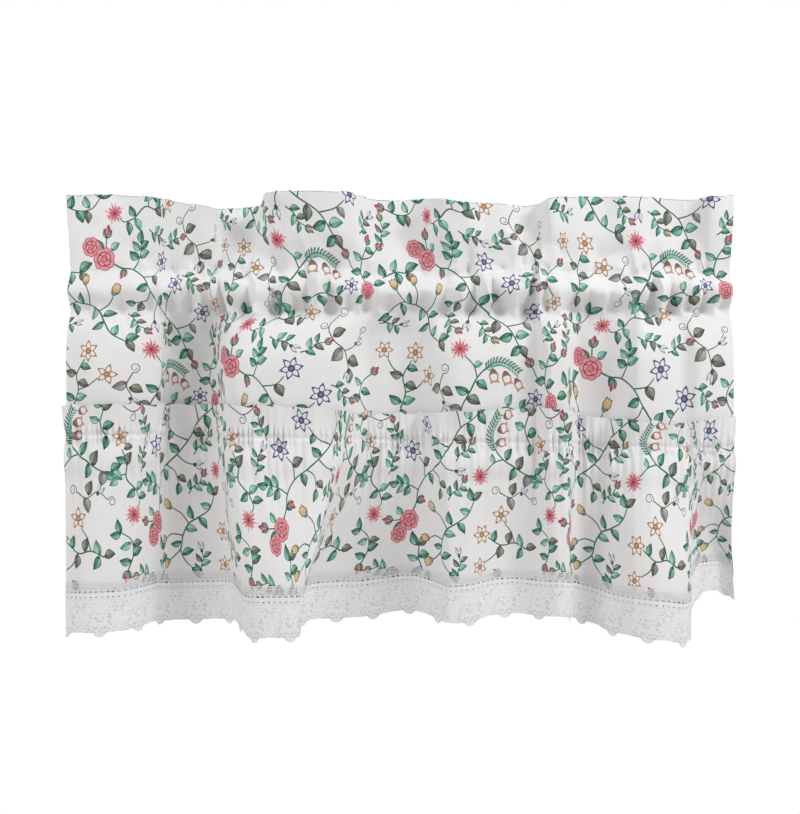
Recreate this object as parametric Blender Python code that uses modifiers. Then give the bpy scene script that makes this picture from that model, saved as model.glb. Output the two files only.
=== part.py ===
"""A short tier curtain: one panel turned over into a standing heading and a rod pocket, a gathered ruffle
with a small standing frill, and a scalloped lace edge sewn on the front of the ruffle's hem.

Metres, +Z up. X runs across the curtain, its front faces -Y, and the origin is the middle of the top edge.
A thread is one line of the cloth from top to bottom, named by where it crosses the rod pocket.
"""

import bmesh
import bpy
import numpy as np

COLLECTION_NAME = "tier_curtain"

# Cloth thicknesses, and the gap that sewn layers keep
CLOTH_THICKNESS = 0.0012
LACE_THICKNESS = 0.0010
SEWN_GAP = 0.0005

# Heights of the panel, measured down from its top edge
HEADING_UPPER = 0.028
HEADING_MIDDLE = 0.038
HEADING_LOWER = 0.055
UPPER_STITCH = 0.075
POCKET_UPPER = 0.083
POCKET_LOWER = 0.107
LOWER_STITCH = 0.115
POCKET_HEM = 0.121
BODY_UPPER = 0.140
BODY_MIDDLE = 0.165
BODY_LOWER = 0.205
SEAM = 0.240
PANEL_BOTTOM = 0.248

# Rod pocket and heading, as distances from the panel's middle surface to each of its two layers
SEWN_OFFSET = (CLOTH_THICKNESS + SEWN_GAP) / 2
POCKET_FRONT_SWELL = 0.0125
POCKET_BACK_SWELL = 0.0105
BACK_PUCKER_SHARE = 0.3
HEADING_SWELL = 0.0014
HALF_WIDTH = 0.3285
TOP_FOLD_RADIUS = 0.0013

# Share of each fold's depth that is left at the stitching, round the rod, and half way up the heading
SHIRRED_SHARE = 0.12
FALLING_IN = 0.25
ROD_SHARE = 0.05
HEADING_MIDDLE_SHARE = 0.62

# Ruffle: its standing frill, and where the cloth and the lace end, from the line that sews the lace on
FRILL_HEIGHT = 0.030
FRILL_LEAN = 0.0035
FRILL_WAVE = 0.0022
FRILL_WAVE_LENGTH = 0.034
FRILL_WAVE_DRIFT = 3.0
FRILL_WAVE_DRIFT_RATE = 9.0
FRILL_EDGE_WAVE = 0.0012
GATHER_SWELL = 0.0030
GATHER_SWELL_END = 0.30
FALL = 0.150
RUFFLE_FALLS = (0.0, 0.08, 0.22, 0.42, 0.62, 0.80)
RUFFLE_BELOW_LACE_LINE = 0.007
LACE_ABOVE_LACE_LINE = 0.010
LACE_MIDDLE = 0.022
LACE_BELOW_LACE_LINE = 0.037
SCALLOP_LENGTH = 0.038
SCALLOP_DEPTH = 0.005
LOBE_SHARE = 0.75
LOBE_SHARPNESS = 8

# Number of columns of faces across the curtain, and of lace columns in each of them
COLUMNS = 82
LACE_COLUMNS_EACH = 3
FINE_THREADS = 2001

# Standing heading, a row for each fold from left to right
HEADING_FOLDS = (
    # across, depth, top edge
    (-0.329, -0.012, -0.002),
    (-0.307, 0.000, 0.001),
    (-0.288, 0.006, 0.002),
    (-0.259, -0.002, -0.001),
    (-0.232, -0.010, -0.006),
    (-0.206, -0.016, -0.012),
    (-0.192, -0.020, -0.014),
    (-0.185, -0.016, -0.015),
    (-0.185, 0.002, -0.012),
    (-0.183, 0.020, -0.009),
    (-0.164, 0.026, -0.007),
    (-0.147, 0.022, -0.006),
    (-0.138, 0.002, -0.005),
    (-0.130, -0.018, -0.001),
    (-0.116, -0.024, -0.001),
    (-0.086, -0.024, -0.001),
    (-0.053, -0.020, -0.001),
    (-0.040, 0.002, 0.000),
    (-0.022, 0.014, -0.001),
    (0.005, 0.016, -0.001),
    (0.026, 0.006, -0.002),
    (0.040, -0.018, -0.007),
    (0.061, -0.022, -0.011),
    (0.080, -0.010, -0.010),
    (0.100, -0.006, -0.009),
    (0.122, 0.006, -0.009),
    (0.136, 0.004, -0.008),
    (0.146, -0.016, -0.006),
    (0.161, -0.008, -0.003),
    (0.201, 0.000, -0.001),
    (0.225, -0.006, -0.002),
    (0.253, 0.000, -0.002),
    (0.282, 0.002, -0.004),
    (0.298, -0.008, -0.005),
    (0.306, -0.018, -0.005),
    (0.328, -0.014, -0.003),
)

# Hanging panel below the pocket, a row for each fold: half way down, and at the ruffle's seam
BODY_FOLDS = (
    # across, depth, across at seam, depth at seam, height of seam
    (-0.331, -0.008, -0.331, -0.006, -0.240),
    (-0.297, -0.020, -0.299, -0.014, -0.239),
    (-0.267, -0.016, -0.270, -0.010, -0.239),
    (-0.247, -0.010, -0.251, -0.008, -0.239),
    (-0.238, 0.000, -0.244, 0.000, -0.239),
    (-0.238, 0.022, -0.244, 0.018, -0.240),
    (-0.234, 0.033, -0.239, 0.027, -0.240),
    (-0.213, 0.038, -0.211, 0.030, -0.240),
    (-0.195, 0.034, -0.190, 0.027, -0.240),
    (-0.186, 0.022, -0.181, 0.016, -0.240),
    (-0.179, -0.004, -0.174, -0.004, -0.241),
    (-0.171, -0.022, -0.167, -0.016, -0.240),
    (-0.156, -0.030, -0.155, -0.022, -0.241),
    (-0.106, -0.028, -0.107, -0.022, -0.242),
    (-0.062, -0.022, -0.062, -0.016, -0.243),
    (-0.047, -0.006, -0.045, -0.002, -0.244),
    (-0.032, 0.012, -0.030, 0.010, -0.244),
    (-0.004, 0.016, -0.002, 0.014, -0.246),
    (0.021, 0.010, 0.025, 0.010, -0.245),
    (0.036, -0.010, 0.040, -0.006, -0.246),
    (0.059, -0.018, 0.060, -0.012, -0.246),
    (0.091, -0.014, 0.092, -0.010, -0.247),
    (0.120, -0.011, 0.120, -0.008, -0.247),
    (0.135, -0.011, 0.135, -0.008, -0.248),
    (0.140, -0.019, 0.141, -0.014, -0.248),
    (0.146, -0.030, 0.147, -0.024, -0.247),
    (0.158, -0.030, 0.159, -0.024, -0.247),
    (0.169, -0.010, 0.169, -0.008, -0.248),
    (0.180, 0.008, 0.180, 0.006, -0.249),
    (0.202, 0.006, 0.201, 0.004, -0.250),
    (0.219, -0.006, 0.217, -0.006, -0.251),
    (0.235, -0.022, 0.236, -0.016, -0.250),
    (0.259, -0.018, 0.261, -0.013, -0.251),
    (0.280, -0.008, 0.281, -0.006, -0.252),
    (0.295, -0.016, 0.297, -0.010, -0.252),
    (0.332, -0.004, 0.334, 0.002, -0.251),
)

# Ruffle, a row for each fold: where it starts on the seam, and where the lace is sewn on
RUFFLE_FOLDS = (
    # across at seam, across, depth, height of the lace line
    (-0.331, -0.330, -0.010, -0.396),
    (-0.305, -0.301, -0.020, -0.394),
    (-0.278, -0.274, -0.018, -0.393),
    (-0.263, -0.259, -0.008, -0.391),
    (-0.253, -0.253, 0.012, -0.392),
    (-0.247, -0.249, 0.028, -0.393),
    (-0.242, -0.239, 0.031, -0.394),
    (-0.215, -0.209, 0.036, -0.394),
    (-0.194, -0.183, 0.033, -0.393),
    (-0.185, -0.171, 0.022, -0.392),
    (-0.175, -0.158, -0.010, -0.393),
    (-0.169, -0.148, -0.032, -0.395),
    (-0.156, -0.135, -0.042, -0.394),
    (-0.128, -0.111, -0.046, -0.393),
    (-0.064, -0.093, -0.040, -0.393),
    (-0.060, -0.098, -0.018, -0.395),
    (-0.055, -0.099, 0.010, -0.395),
    (-0.047, -0.086, 0.030, -0.394),
    (-0.032, -0.052, 0.038, -0.394),
    (-0.004, -0.014, 0.036, -0.390),
    (0.017, 0.013, 0.028, -0.386),
    (0.034, 0.034, 0.010, -0.388),
    (0.048, 0.050, -0.010, -0.390),
    (0.068, 0.070, -0.012, -0.388),
    (0.089, 0.090, -0.004, -0.385),
    (0.108, 0.112, 0.002, -0.384),
    (0.127, 0.127, -0.004, -0.384),
    (0.142, 0.142, -0.018, -0.383),
    (0.152, 0.156, -0.026, -0.382),
    (0.163, 0.165, -0.022, -0.384),
    (0.168, 0.167, -0.006, -0.387),
    (0.173, 0.174, 0.008, -0.389),
    (0.184, 0.185, 0.012, -0.392),
    (0.197, 0.197, 0.004, -0.394),
    (0.212, 0.210, -0.012, -0.397),
    (0.231, 0.228, -0.032, -0.397),
    (0.255, 0.249, -0.040, -0.398),
    (0.281, 0.271, -0.036, -0.401),
    (0.289, 0.285, -0.016, -0.402),
    (0.293, 0.292, 0.012, -0.391),
    (0.298, 0.310, 0.034, -0.374),
    (0.315, 0.332, 0.042, -0.373),
    (0.334, 0.346, 0.034, -0.380),
)

# Puckers across the rod pocket, where the cloth is pushed together
PUCKERS = (
    # thread, half width, how far forward
    (-0.300, 0.012, 0.003),
    (-0.262, 0.014, 0.003),
    (-0.232, 0.011, 0.004),
    (-0.211, 0.009, 0.005),
    (-0.161, 0.010, 0.005),
    (-0.137, 0.009, 0.006),
    (-0.109, 0.009, 0.004),
    (-0.080, 0.009, 0.006),
    (-0.050, 0.012, 0.003),
    (-0.015, 0.013, 0.004),
    (0.025, 0.014, 0.003),
    (0.058, 0.011, 0.004),
    (0.082, 0.009, 0.006),
    (0.104, 0.009, 0.005),
    (0.125, 0.009, 0.006),
    (0.148, 0.009, 0.005),
    (0.190, 0.012, 0.004),
    (0.218, 0.012, 0.004),
    (0.241, 0.009, 0.006),
    (0.264, 0.010, 0.005),
    (0.289, 0.009, 0.005),
    (0.313, 0.010, 0.004),
)
PUCKER_MIDDLE = 0.095
PUCKER_REACH = 0.034

# Least square of a mitre's cosine, which keeps the step short where the cloth turns sharply
SHARPEST_MITRE = 0.4


def smooth_through(knots, values, places):
    """A cubic curve through the values at the knots that never swings past them, read at the places."""
    knots = np.asarray(knots, float)
    values = np.asarray(values, float)
    places = np.asarray(places, float)
    spread = (-1,) + (1,) * (values.ndim - 1)
    steps = np.diff(knots).reshape(spread)
    rises = np.diff(values, axis=0) / steps
    product = rises[:-1] * rises[1:]
    total = np.where(product > 0, rises[:-1] + rises[1:], 1.0)
    slopes = np.zeros_like(values)
    slopes[1:-1] = np.where(product > 0, 2 * product / total, 0.0)
    slopes[0] = rises[0]
    slopes[-1] = rises[-1]
    span = np.clip(np.searchsorted(knots, places, side="right") - 1, 0, len(knots) - 2)
    width = np.diff(knots)[span].reshape(spread)
    f = (places - knots[span]).reshape(spread) / width
    start = values[span] * (1 + 2 * f) * (1 - f) ** 2 + slopes[span] * width * f * (1 - f) ** 2
    end = values[span + 1] * f**2 * (3 - 2 * f) + slopes[span + 1] * width * f**2 * (f - 1)
    return start + end


def fold_threads(folds):
    """The thread at each fold: half by its place across, and half by how much cloth the folds before it take."""
    places = np.array([row[:2] for row in folds])
    taken = np.concatenate(([0.0], np.cumsum(np.linalg.norm(np.diff(places, axis=0), axis=1))))
    across = places[:, 0] - places[0, 0]
    return HALF_WIDTH * (across / across[-1] + taken / taken[-1] - 1)


def read_folds(folds, threads):
    """The columns of a table of the panel's folds, each read at the threads."""
    return smooth_through(fold_threads(folds), folds, threads).T


def read_ruffle_folds(threads):
    """The columns of the ruffle's folds, each fold starting at its own place along the seam."""
    seam = [row[2] for row in BODY_FOLDS]
    starts = np.interp([row[0] for row in RUFFLE_FOLDS], seam, fold_threads(BODY_FOLDS))
    return smooth_through(starts, [row[1:] for row in RUFFLE_FOLDS], threads).T


def pocket_round(drops):
    """How far the pocket is open at each drop, from 0 at its two rows of stitching to 1 between them."""
    return np.sin(np.pi * np.clip((drops - UPPER_STITCH) / (LOWER_STITCH - UPPER_STITCH), 0, 1))


def pucker(threads, drops):
    """How far the puckers stand out of the cloth, as a table of drops by threads."""
    reach = np.exp(-(((drops - PUCKER_MIDDLE) / PUCKER_REACH) ** 2))
    push = sum(forward * np.exp(-(((threads - place) / half) ** 2)) for place, half, forward in PUCKERS)
    return reach[:, None] * push[None, :]


def panel_middle(threads, drops):
    """The panel's middle surface: a table of drops by threads by X, Y, Z."""
    top_x, heading, top = read_folds(HEADING_FOLDS, threads)
    body_x, body, seam_x, seam, seam_z = read_folds(BODY_FOLDS, threads)
    level = np.ones_like(threads)
    round_rod = ROD_SHARE * (heading + body) / 2
    sections = (
        # drop, across, depth, height
        (0.0, top_x, heading, top),
        (HEADING_MIDDLE, (top_x + threads) / 2, HEADING_MIDDLE_SHARE * heading, top / 2 - HEADING_MIDDLE),
        (UPPER_STITCH, threads, SHIRRED_SHARE * heading, -UPPER_STITCH * level),
        (PUCKER_MIDDLE, threads, round_rod, -PUCKER_MIDDLE * level),
        (LOWER_STITCH, threads, SHIRRED_SHARE * body, -LOWER_STITCH * level),
        (BODY_UPPER, body_x + FALLING_IN * (threads - body_x), (1 - FALLING_IN) * body, -BODY_UPPER * level),
        (BODY_MIDDLE, body_x, body, -BODY_MIDDLE * level),
        (SEAM, seam_x, seam, seam_z),
        (PANEL_BOTTOM, seam_x, seam, seam_z + SEAM - PANEL_BOTTOM),
    )
    knots = [row[0] for row in sections]
    points = smooth_through(knots, [np.stack(row[1:], axis=-1) for row in sections], drops)
    points[..., 1] -= pucker(threads, drops) * (1 - pocket_round(drops))[:, None]
    return points


def front_steps(points):
    """Level steps towards the front that keep each facet of a row of points parallel to itself."""
    edges = np.diff(points[..., :2], axis=1)
    facing = np.stack((edges[..., 1], -edges[..., 0]), axis=-1)
    facing /= np.linalg.norm(facing, axis=-1, keepdims=True)
    before = np.concatenate((facing[:, :1], facing), axis=1)
    after = np.concatenate((facing, facing[:, -1:]), axis=1)
    mitre = (before + after) / 2
    mitre /= np.maximum(np.sum(mitre**2, axis=-1, keepdims=True), SHARPEST_MITRE)
    return np.concatenate((mitre, np.zeros_like(mitre[..., :1])), axis=-1)


def layer_offsets(threads, drops, pocket_swell, pucker_share):
    """How far one of the panel's two layers lies from its middle surface, as a table of drops by threads."""
    heading = np.clip(drops / UPPER_STITCH, 0, 1)
    hanging = np.clip((drops - POCKET_HEM) / (BODY_MIDDLE - POCKET_HEM), 0, 1)
    sewn = SEWN_OFFSET + (TOP_FOLD_RADIUS - SEWN_OFFSET) * (1 - heading)
    swell = pocket_swell * pocket_round(drops) + HEADING_SWELL * np.sin(np.pi * heading)
    puckered = pucker_share * pucker(threads, drops) * pocket_round(drops)[:, None]
    return ((sewn + swell) * (1 - hanging))[:, None] + puckered


def panel_surface(threads):
    """The panel's sheet, from its bottom edge up the front, over the top fold and down behind the pocket."""
    pocket = (POCKET_HEM, LOWER_STITCH, POCKET_LOWER, PUCKER_MIDDLE, POCKET_UPPER, UPPER_STITCH)
    heading = (HEADING_LOWER, HEADING_UPPER, TOP_FOLD_RADIUS)
    body = (PANEL_BOTTOM, SEAM, BODY_LOWER, BODY_MIDDLE, BODY_UPPER)
    front = np.array(body + pocket + heading)
    back = np.array(heading[::-1] + pocket[::-1])
    drops = np.concatenate((front, [0.0], back))
    forward = layer_offsets(threads, front, POCKET_FRONT_SWELL, 1.0)
    backward = layer_offsets(threads, back, POCKET_BACK_SWELL, BACK_PUCKER_SHARE)
    offsets = np.concatenate((forward, np.zeros((1, len(threads))), -backward))
    middle = panel_middle(threads, drops)
    return middle + front_steps(middle) * offsets[..., None]


def hanging_share(falls):
    """How much of a ruffle fold's sideways lean and depth is reached, by the share of its fall."""
    inside = np.clip(falls, 0, 1)
    past = np.clip(falls - 1, 0, None)
    return inside**1.5 + past / 2, inside**2 * (3 - 2 * inside)


def ruffle_middle(threads, falls):
    """The ruffle's middle surface below its seam, falls being shares of the way down to the lace line."""
    across, depth, lace_z = read_ruffle_folds(threads)
    seam = panel_middle(threads, np.array([SEAM]))
    start = (seam + front_steps(seam) * (CLOTH_THICKNESS + SEWN_GAP))[0]
    lean, deepen = (share[:, None] for share in hanging_share(falls))
    swell = GATHER_SWELL * np.sin(np.pi * np.clip(falls / GATHER_SWELL_END, 0, 1))
    x = start[:, 0] + (across - start[:, 0]) * lean
    y = start[:, 1] + (depth - start[:, 1]) * deepen - swell[:, None]
    z = start[:, 2] + (lace_z - start[:, 2]) * falls[:, None]
    return np.stack((x, y, z), axis=-1)


def frill_surface(threads, heights):
    """The ruffle's standing frill, in front of the panel, at heights above the seam."""
    drops = SEAM - heights
    share = heights / FRILL_HEIGHT
    drift = FRILL_WAVE_DRIFT * np.sin(FRILL_WAVE_DRIFT_RATE * threads)
    wave = np.sin(2 * np.pi * threads / FRILL_WAVE_LENGTH + drift)
    reach = CLOTH_THICKNESS + SEWN_GAP + FRILL_LEAN * share[:, None] + FRILL_WAVE * wave * share[:, None]
    panel = panel_middle(threads, drops)
    frill = panel + front_steps(panel) * reach[..., None]
    frill[..., 2] += FRILL_EDGE_WAVE * np.roll(wave, 1) * share[:, None]
    return frill


def ruffle_surface(threads):
    """The ruffle's sheet, from the top of its frill down to its raw edge behind the lace."""
    heights = np.array((FRILL_HEIGHT, FRILL_HEIGHT / 2))
    lace_top = 1 - LACE_ABOVE_LACE_LINE / FALL
    falls = np.array(RUFFLE_FALLS + (lace_top, 1 + RUFFLE_BELOW_LACE_LINE / FALL))
    return np.concatenate((frill_surface(threads, heights), ruffle_middle(threads, falls)))


def lace_surface(threads):
    """The lace's sheet, in front of the ruffle's hem, its lower edge in shallow arcs between small lobes."""
    below_line = np.array((-LACE_ABOVE_LACE_LINE, RUFFLE_BELOW_LACE_LINE, LACE_MIDDLE, LACE_BELOW_LACE_LINE))
    falls = 1 + below_line / FALL
    offset = (CLOTH_THICKNESS + LACE_THICKNESS) / 2 + SEWN_GAP
    ruffle = ruffle_middle(threads, falls)
    coarse = ruffle + front_steps(ruffle) * offset
    places = np.arange(len(threads))
    fine = np.linspace(0, len(threads) - 1, (len(threads) - 1) * LACE_COLUMNS_EACH + 1)
    left = np.clip(fine.astype(int), 0, len(threads) - 2)
    share = (fine - places[left])[None, :, None]
    points = coarse[:, left] * (1 - share) + coarse[:, left + 1] * share
    steps = np.linalg.norm(np.diff(points[1], axis=0), axis=-1)
    along = np.concatenate(([0.0], np.cumsum(steps)))
    arc = np.abs(np.cos(np.pi * along / SCALLOP_LENGTH))
    points[-1, :, 2] -= SCALLOP_DEPTH * (LOBE_SHARE * arc**LOBE_SHARPNESS + (1 - LOBE_SHARE) * arc)
    return points


def thread_places():
    """Threads for the columns of faces, closer together where the folds turn."""
    fine = np.linspace(-HALF_WIDTH, HALF_WIDTH, FINE_THREADS)
    rows = (
        # folds, weight
        (read_folds(HEADING_FOLDS, fine), 1),
        (read_folds(BODY_FOLDS, fine), 1),
        (read_ruffle_folds(fine), 2),
    )
    lengths = sum(weight * np.hypot(np.diff(folds[0]), np.diff(folds[1])) for folds, weight in rows)
    travelled = np.concatenate(([0.0], np.cumsum(lengths)))
    return np.interp(np.linspace(0, travelled[-1], COLUMNS + 1), travelled, fine)


def make_material(name, colour, roughness):
    material = bpy.data.materials.new(name)
    material.use_nodes = True
    shader = material.node_tree.nodes["Principled BSDF"]
    shader.inputs["Base Color"].default_value = (*colour, 1.0)
    shader.inputs["Roughness"].default_value = roughness
    shader.inputs["Metallic"].default_value = 0.0
    return material


def make_sheet(name, points, thickness, material, collection):
    """A sheet of cloth: a grid bent to the points, a table of rows by columns, and made thick."""
    rows, columns = points.shape[:2]
    shape = bmesh.new()
    bmesh.ops.create_grid(shape, x_segments=columns - 1, y_segments=rows - 1, size=1.0)
    for vert in shape.verts:
        column = round((vert.co.x + 1) / 2 * (columns - 1))
        row = round((1 - vert.co.y) / 2 * (rows - 1))
        vert.co = points[row, column]
    mesh = bpy.data.meshes.new(name)
    shape.to_mesh(mesh)
    shape.free()
    mesh.shade_smooth()
    sheet = bpy.data.objects.new(name, mesh)
    collection.objects.link(sheet)
    mesh.materials.append(material)
    shell = sheet.modifiers.new("thickness", "SOLIDIFY")
    shell.thickness = thickness
    shell.offset = 0.0
    return sheet


def build():
    for old in list(bpy.data.objects):
        bpy.data.objects.remove(old)
    collection = bpy.data.collections.new(COLLECTION_NAME)
    bpy.context.scene.collection.children.link(collection)
    printed = make_material("printed_cotton", (0.88, 0.87, 0.85), 0.85)
    frilled = make_material("printed_cotton_ruffle", (0.86, 0.85, 0.83), 0.85)
    lace = make_material("white_lace", (0.90, 0.90, 0.92), 0.9)
    threads = thread_places()
    make_sheet("panel", panel_surface(threads)[::-1], CLOTH_THICKNESS, printed, collection)
    make_sheet("ruffle", ruffle_surface(threads), CLOTH_THICKNESS, frilled, collection)
    make_sheet("lace_edge", lace_surface(threads), LACE_THICKNESS, lace, collection)


build()
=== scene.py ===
"""The looks of a short tier curtain: printed cotton with a rod pocket, a gathered ruffle and a lace edge.

Everything is built in metres in the frame's own axes: X runs across the curtain, its front faces -Y, and the
origin is the middle of the top edge. Flat places on a cloth are in metres too: across it from its left edge,
and up it from its lower edge. A thread is a place along the pocket's stitching, from -HALF_WIDTH at the left
side edge to HALF_WIDTH at the right one, and a drop is a distance down the panel from its top edge. Tables of
folds and creases are in millimetres and read in metres. The print and the lace are charted in millimetres.
"""

import bpy
import numpy as np
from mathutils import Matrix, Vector
from mathutils.geometry import delaunay_2d_cdt


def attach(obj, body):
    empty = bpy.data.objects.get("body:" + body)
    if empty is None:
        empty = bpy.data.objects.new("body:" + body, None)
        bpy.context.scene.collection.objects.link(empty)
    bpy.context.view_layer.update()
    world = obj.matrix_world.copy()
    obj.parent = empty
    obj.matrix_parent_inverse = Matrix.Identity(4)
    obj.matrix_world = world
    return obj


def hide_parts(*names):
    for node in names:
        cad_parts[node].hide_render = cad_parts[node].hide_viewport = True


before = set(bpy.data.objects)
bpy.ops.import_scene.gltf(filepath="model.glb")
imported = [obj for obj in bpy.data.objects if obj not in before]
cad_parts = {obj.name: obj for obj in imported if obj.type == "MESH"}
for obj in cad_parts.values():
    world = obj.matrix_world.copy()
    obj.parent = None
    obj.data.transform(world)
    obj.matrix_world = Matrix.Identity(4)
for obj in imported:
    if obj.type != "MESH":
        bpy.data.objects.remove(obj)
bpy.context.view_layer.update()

MM = 0.001

# Cloth thickness of the solids, and the gap that sewn layers keep
CLOTH_THICKNESS = 0.0012
SEWN_GAP = 0.0005

# Heights of the panel, measured down from its top edge
HEADING_MIDDLE = 0.038
UPPER_STITCH = 0.075
LOWER_STITCH = 0.115
POCKET_HEM = 0.121
BODY_UPPER = 0.140
BODY_MIDDLE = 0.165
SEAM = 0.240
PANEL_BOTTOM = 0.248

# Rod pocket and heading, as distances from the panel's middle surface to each of its two layers
SEWN_OFFSET = (CLOTH_THICKNESS + SEWN_GAP) / 2
POCKET_FRONT_SWELL = 0.0098
POCKET_BACK_SWELL = 0.0105
POCKET_SOFTNESS = 1.4
BACK_PUCKER_SHARE = 0.3
HEADING_SWELL = 0.0014
TOP_FOLD_RADIUS = 0.0013
TOP_FOLD_ROWS = 6
BACK_START = 0.002

# Half the width of the cloth along the pocket's stitching
HALF_WIDTH = 0.3285

# Share of each fold's depth that is left at the stitching, round the rod, and half way up the heading
SHIRRED_SHARE = 0.12
FALLING_IN = 0.25
ROD_SHARE = 0.05
HEADING_MIDDLE_SHARE = 0.62

# The frill that stands above the ruffle's seam
FRILL_HEIGHT = 0.030
FRILL_LEAN = 0.0035
FRILL_WAVE = 0.0022
FRILL_WAVE_LENGTH = 0.034
FRILL_EDGE_WAVE = 0.0009
FRILL_EDGE_WAVE_LENGTH = 0.031

# The ruffle's fall from its seam to the line that sews the lace on, and its swell below the seam
FALL = 0.150
LEAN_POWER = 1.5
GATHER_SWELL = 0.0030
GATHER_SWELL_END = 0.30

# Where the ruffle and the lace end, from the line that sews the lace on
RUFFLE_BELOW_LACE_LINE = 0.007
LACE_ABOVE_LACE_LINE = 0.010
LACE_BELOW_LACE_LINE = 0.037
SCALLOP_LENGTH = 0.038
SCALLOP_DEPTH = 0.005

# Spacing of the fine tables that hold each sheet's shape, and how many steps its spacing is evened over
TABLE_ACROSS = 0.0009
TABLE_DOWN = 0.0010
THREAD_SAMPLES = 6001
LEVELLING = 91


def metres(rows, units=1000):
    """A table of millimetres, in metres."""
    return np.array(rows) / units


# Standing heading, a row for each fold from left to right
HEADING_FOLDS = metres((
    # across, depth, height of top edge
    (-329, -12, -2),
    (-307, 0, 1),
    (-288, 6, 2),
    (-259, -2, -1),
    (-232, -10, -6),
    (-206, -16, -12),
    (-192, -20, -14),
    (-185, -16, -15),
    (-185, 2, -12),
    (-183, 20, -9),
    (-164, 26, -7),
    (-147, 22, -6),
    (-138, 2, -5),
    (-130, -18, -1),
    (-116, -24, -1),
    (-86, -24, -1),
    (-53, -20, -1),
    (-40, 2, 0),
    (-22, 14, -1),
    (5, 16, -1),
    (26, 6, -2),
    (40, -18, -7),
    (61, -22, -11),
    (80, -10, -10),
    (100, -6, -9),
    (122, 6, -9),
    (136, 4, -8),
    (146, -16, -6),
    (161, -8, -3),
    (201, 0, -1),
    (225, -6, -2),
    (253, 0, -2),
    (282, 2, -4),
    (298, -8, -5),
    (306, -18, -5),
    (328, -14, -3),
))

# Hanging panel below the pocket, a row for each fold: where the folds are deepest, and at the ruffle's seam
BODY_FOLDS = metres((
    # across, depth, across at seam, depth at seam, height of seam
    (-331, -8, -331, -6, -240),
    (-297, -20, -299, -14, -239),
    (-267, -16, -270, -10, -239),
    (-247, -10, -251, -8, -239),
    (-238, 0, -244, 0, -239),
    (-238, 22, -244, 18, -240),
    (-234, 33, -239, 27, -240),
    (-213, 38, -211, 30, -240),
    (-195, 34, -190, 27, -240),
    (-186, 22, -181, 16, -240),
    (-179, -4, -174, -4, -241),
    (-171, -22, -167, -16, -240),
    (-156, -30, -155, -22, -241),
    (-106, -28, -107, -22, -242),
    (-62, -22, -62, -16, -243),
    (-47, -6, -45, -2, -244),
    (-32, 12, -30, 10, -244),
    (-4, 16, -2, 14, -246),
    (21, 10, 25, 10, -245),
    (36, -10, 40, -6, -246),
    (59, -18, 60, -12, -246),
    (91, -14, 92, -10, -247),
    (120, -11, 120, -8, -247),
    (135, -11, 135, -8, -248),
    (140, -19, 141, -14, -248),
    (146, -30, 147, -24, -247),
    (158, -30, 159, -24, -247),
    (169, -10, 169, -8, -248),
    (180, 8, 180, 6, -249),
    (202, 6, 201, 4, -250),
    (219, -6, 217, -6, -251),
    (235, -22, 236, -16, -250),
    (259, -18, 261, -13, -251),
    (280, -8, 281, -6, -252),
    (295, -16, 297, -10, -252),
    (332, -4, 334, 2, -251),
))

# Ruffle, a row for each fold: where it starts on the seam, and where the lace is sewn on
RUFFLE_FOLDS = metres((
    # across at seam, across, depth, height of the lace line
    (-331, -330, -10, -396),
    (-305, -301, -20, -394),
    (-278, -274, -18, -393),
    (-263, -259, -8, -391),
    (-253, -253, 12, -392),
    (-247, -249, 28, -393),
    (-242, -239, 31, -394),
    (-215, -209, 36, -394),
    (-194, -183, 33, -393),
    (-185, -171, 22, -392),
    (-175, -158, -10, -393),
    (-169, -148, -32, -395),
    (-156, -135, -42, -394),
    (-128, -111, -46, -393),
    (-64, -93, -40, -393),
    (-60, -98, -18, -395),
    (-55, -99, 10, -395),
    (-47, -86, 30, -394),
    (-32, -52, 38, -394),
    (-4, -14, 36, -390),
    (17, 13, 28, -386),
    (34, 34, 10, -388),
    (48, 50, -10, -390),
    (68, 70, -12, -388),
    (89, 90, -4, -385),
    (108, 112, 2, -384),
    (127, 127, -4, -384),
    (142, 142, -18, -383),
    (152, 156, -26, -382),
    (163, 165, -22, -384),
    (168, 167, -6, -387),
    (173, 174, 8, -389),
    (184, 185, 12, -392),
    (197, 197, 4, -394),
    (212, 210, -12, -397),
    (231, 228, -32, -397),
    (255, 249, -40, -398),
    (281, 271, -36, -401),
    (289, 285, -16, -402),
    (293, 292, 12, -391),
    (298, 310, 34, -374),
    (315, 332, 42, -373),
    (334, 346, 34, -380),
))

# Puckers across the rod pocket, where the cloth is pushed together
PUCKERS = metres((
    # thread, half width, how far forward
    (-300, 12, 3),
    (-262, 14, 3),
    (-232, 11, 4),
    (-211, 9, 5),
    (-161, 10, 5),
    (-137, 9, 6),
    (-109, 9, 4),
    (-80, 9, 6),
    (-50, 12, 3),
    (-15, 13, 4),
    (25, 14, 3),
    (58, 11, 4),
    (82, 9, 6),
    (104, 9, 5),
    (125, 9, 6),
    (148, 9, 5),
    (190, 12, 4),
    (218, 12, 4),
    (241, 9, 6),
    (264, 10, 5),
    (289, 9, 5),
    (313, 10, 4),
))
PUCKER_MIDDLE = 0.095
PUCKER_REACH = 0.034

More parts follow.
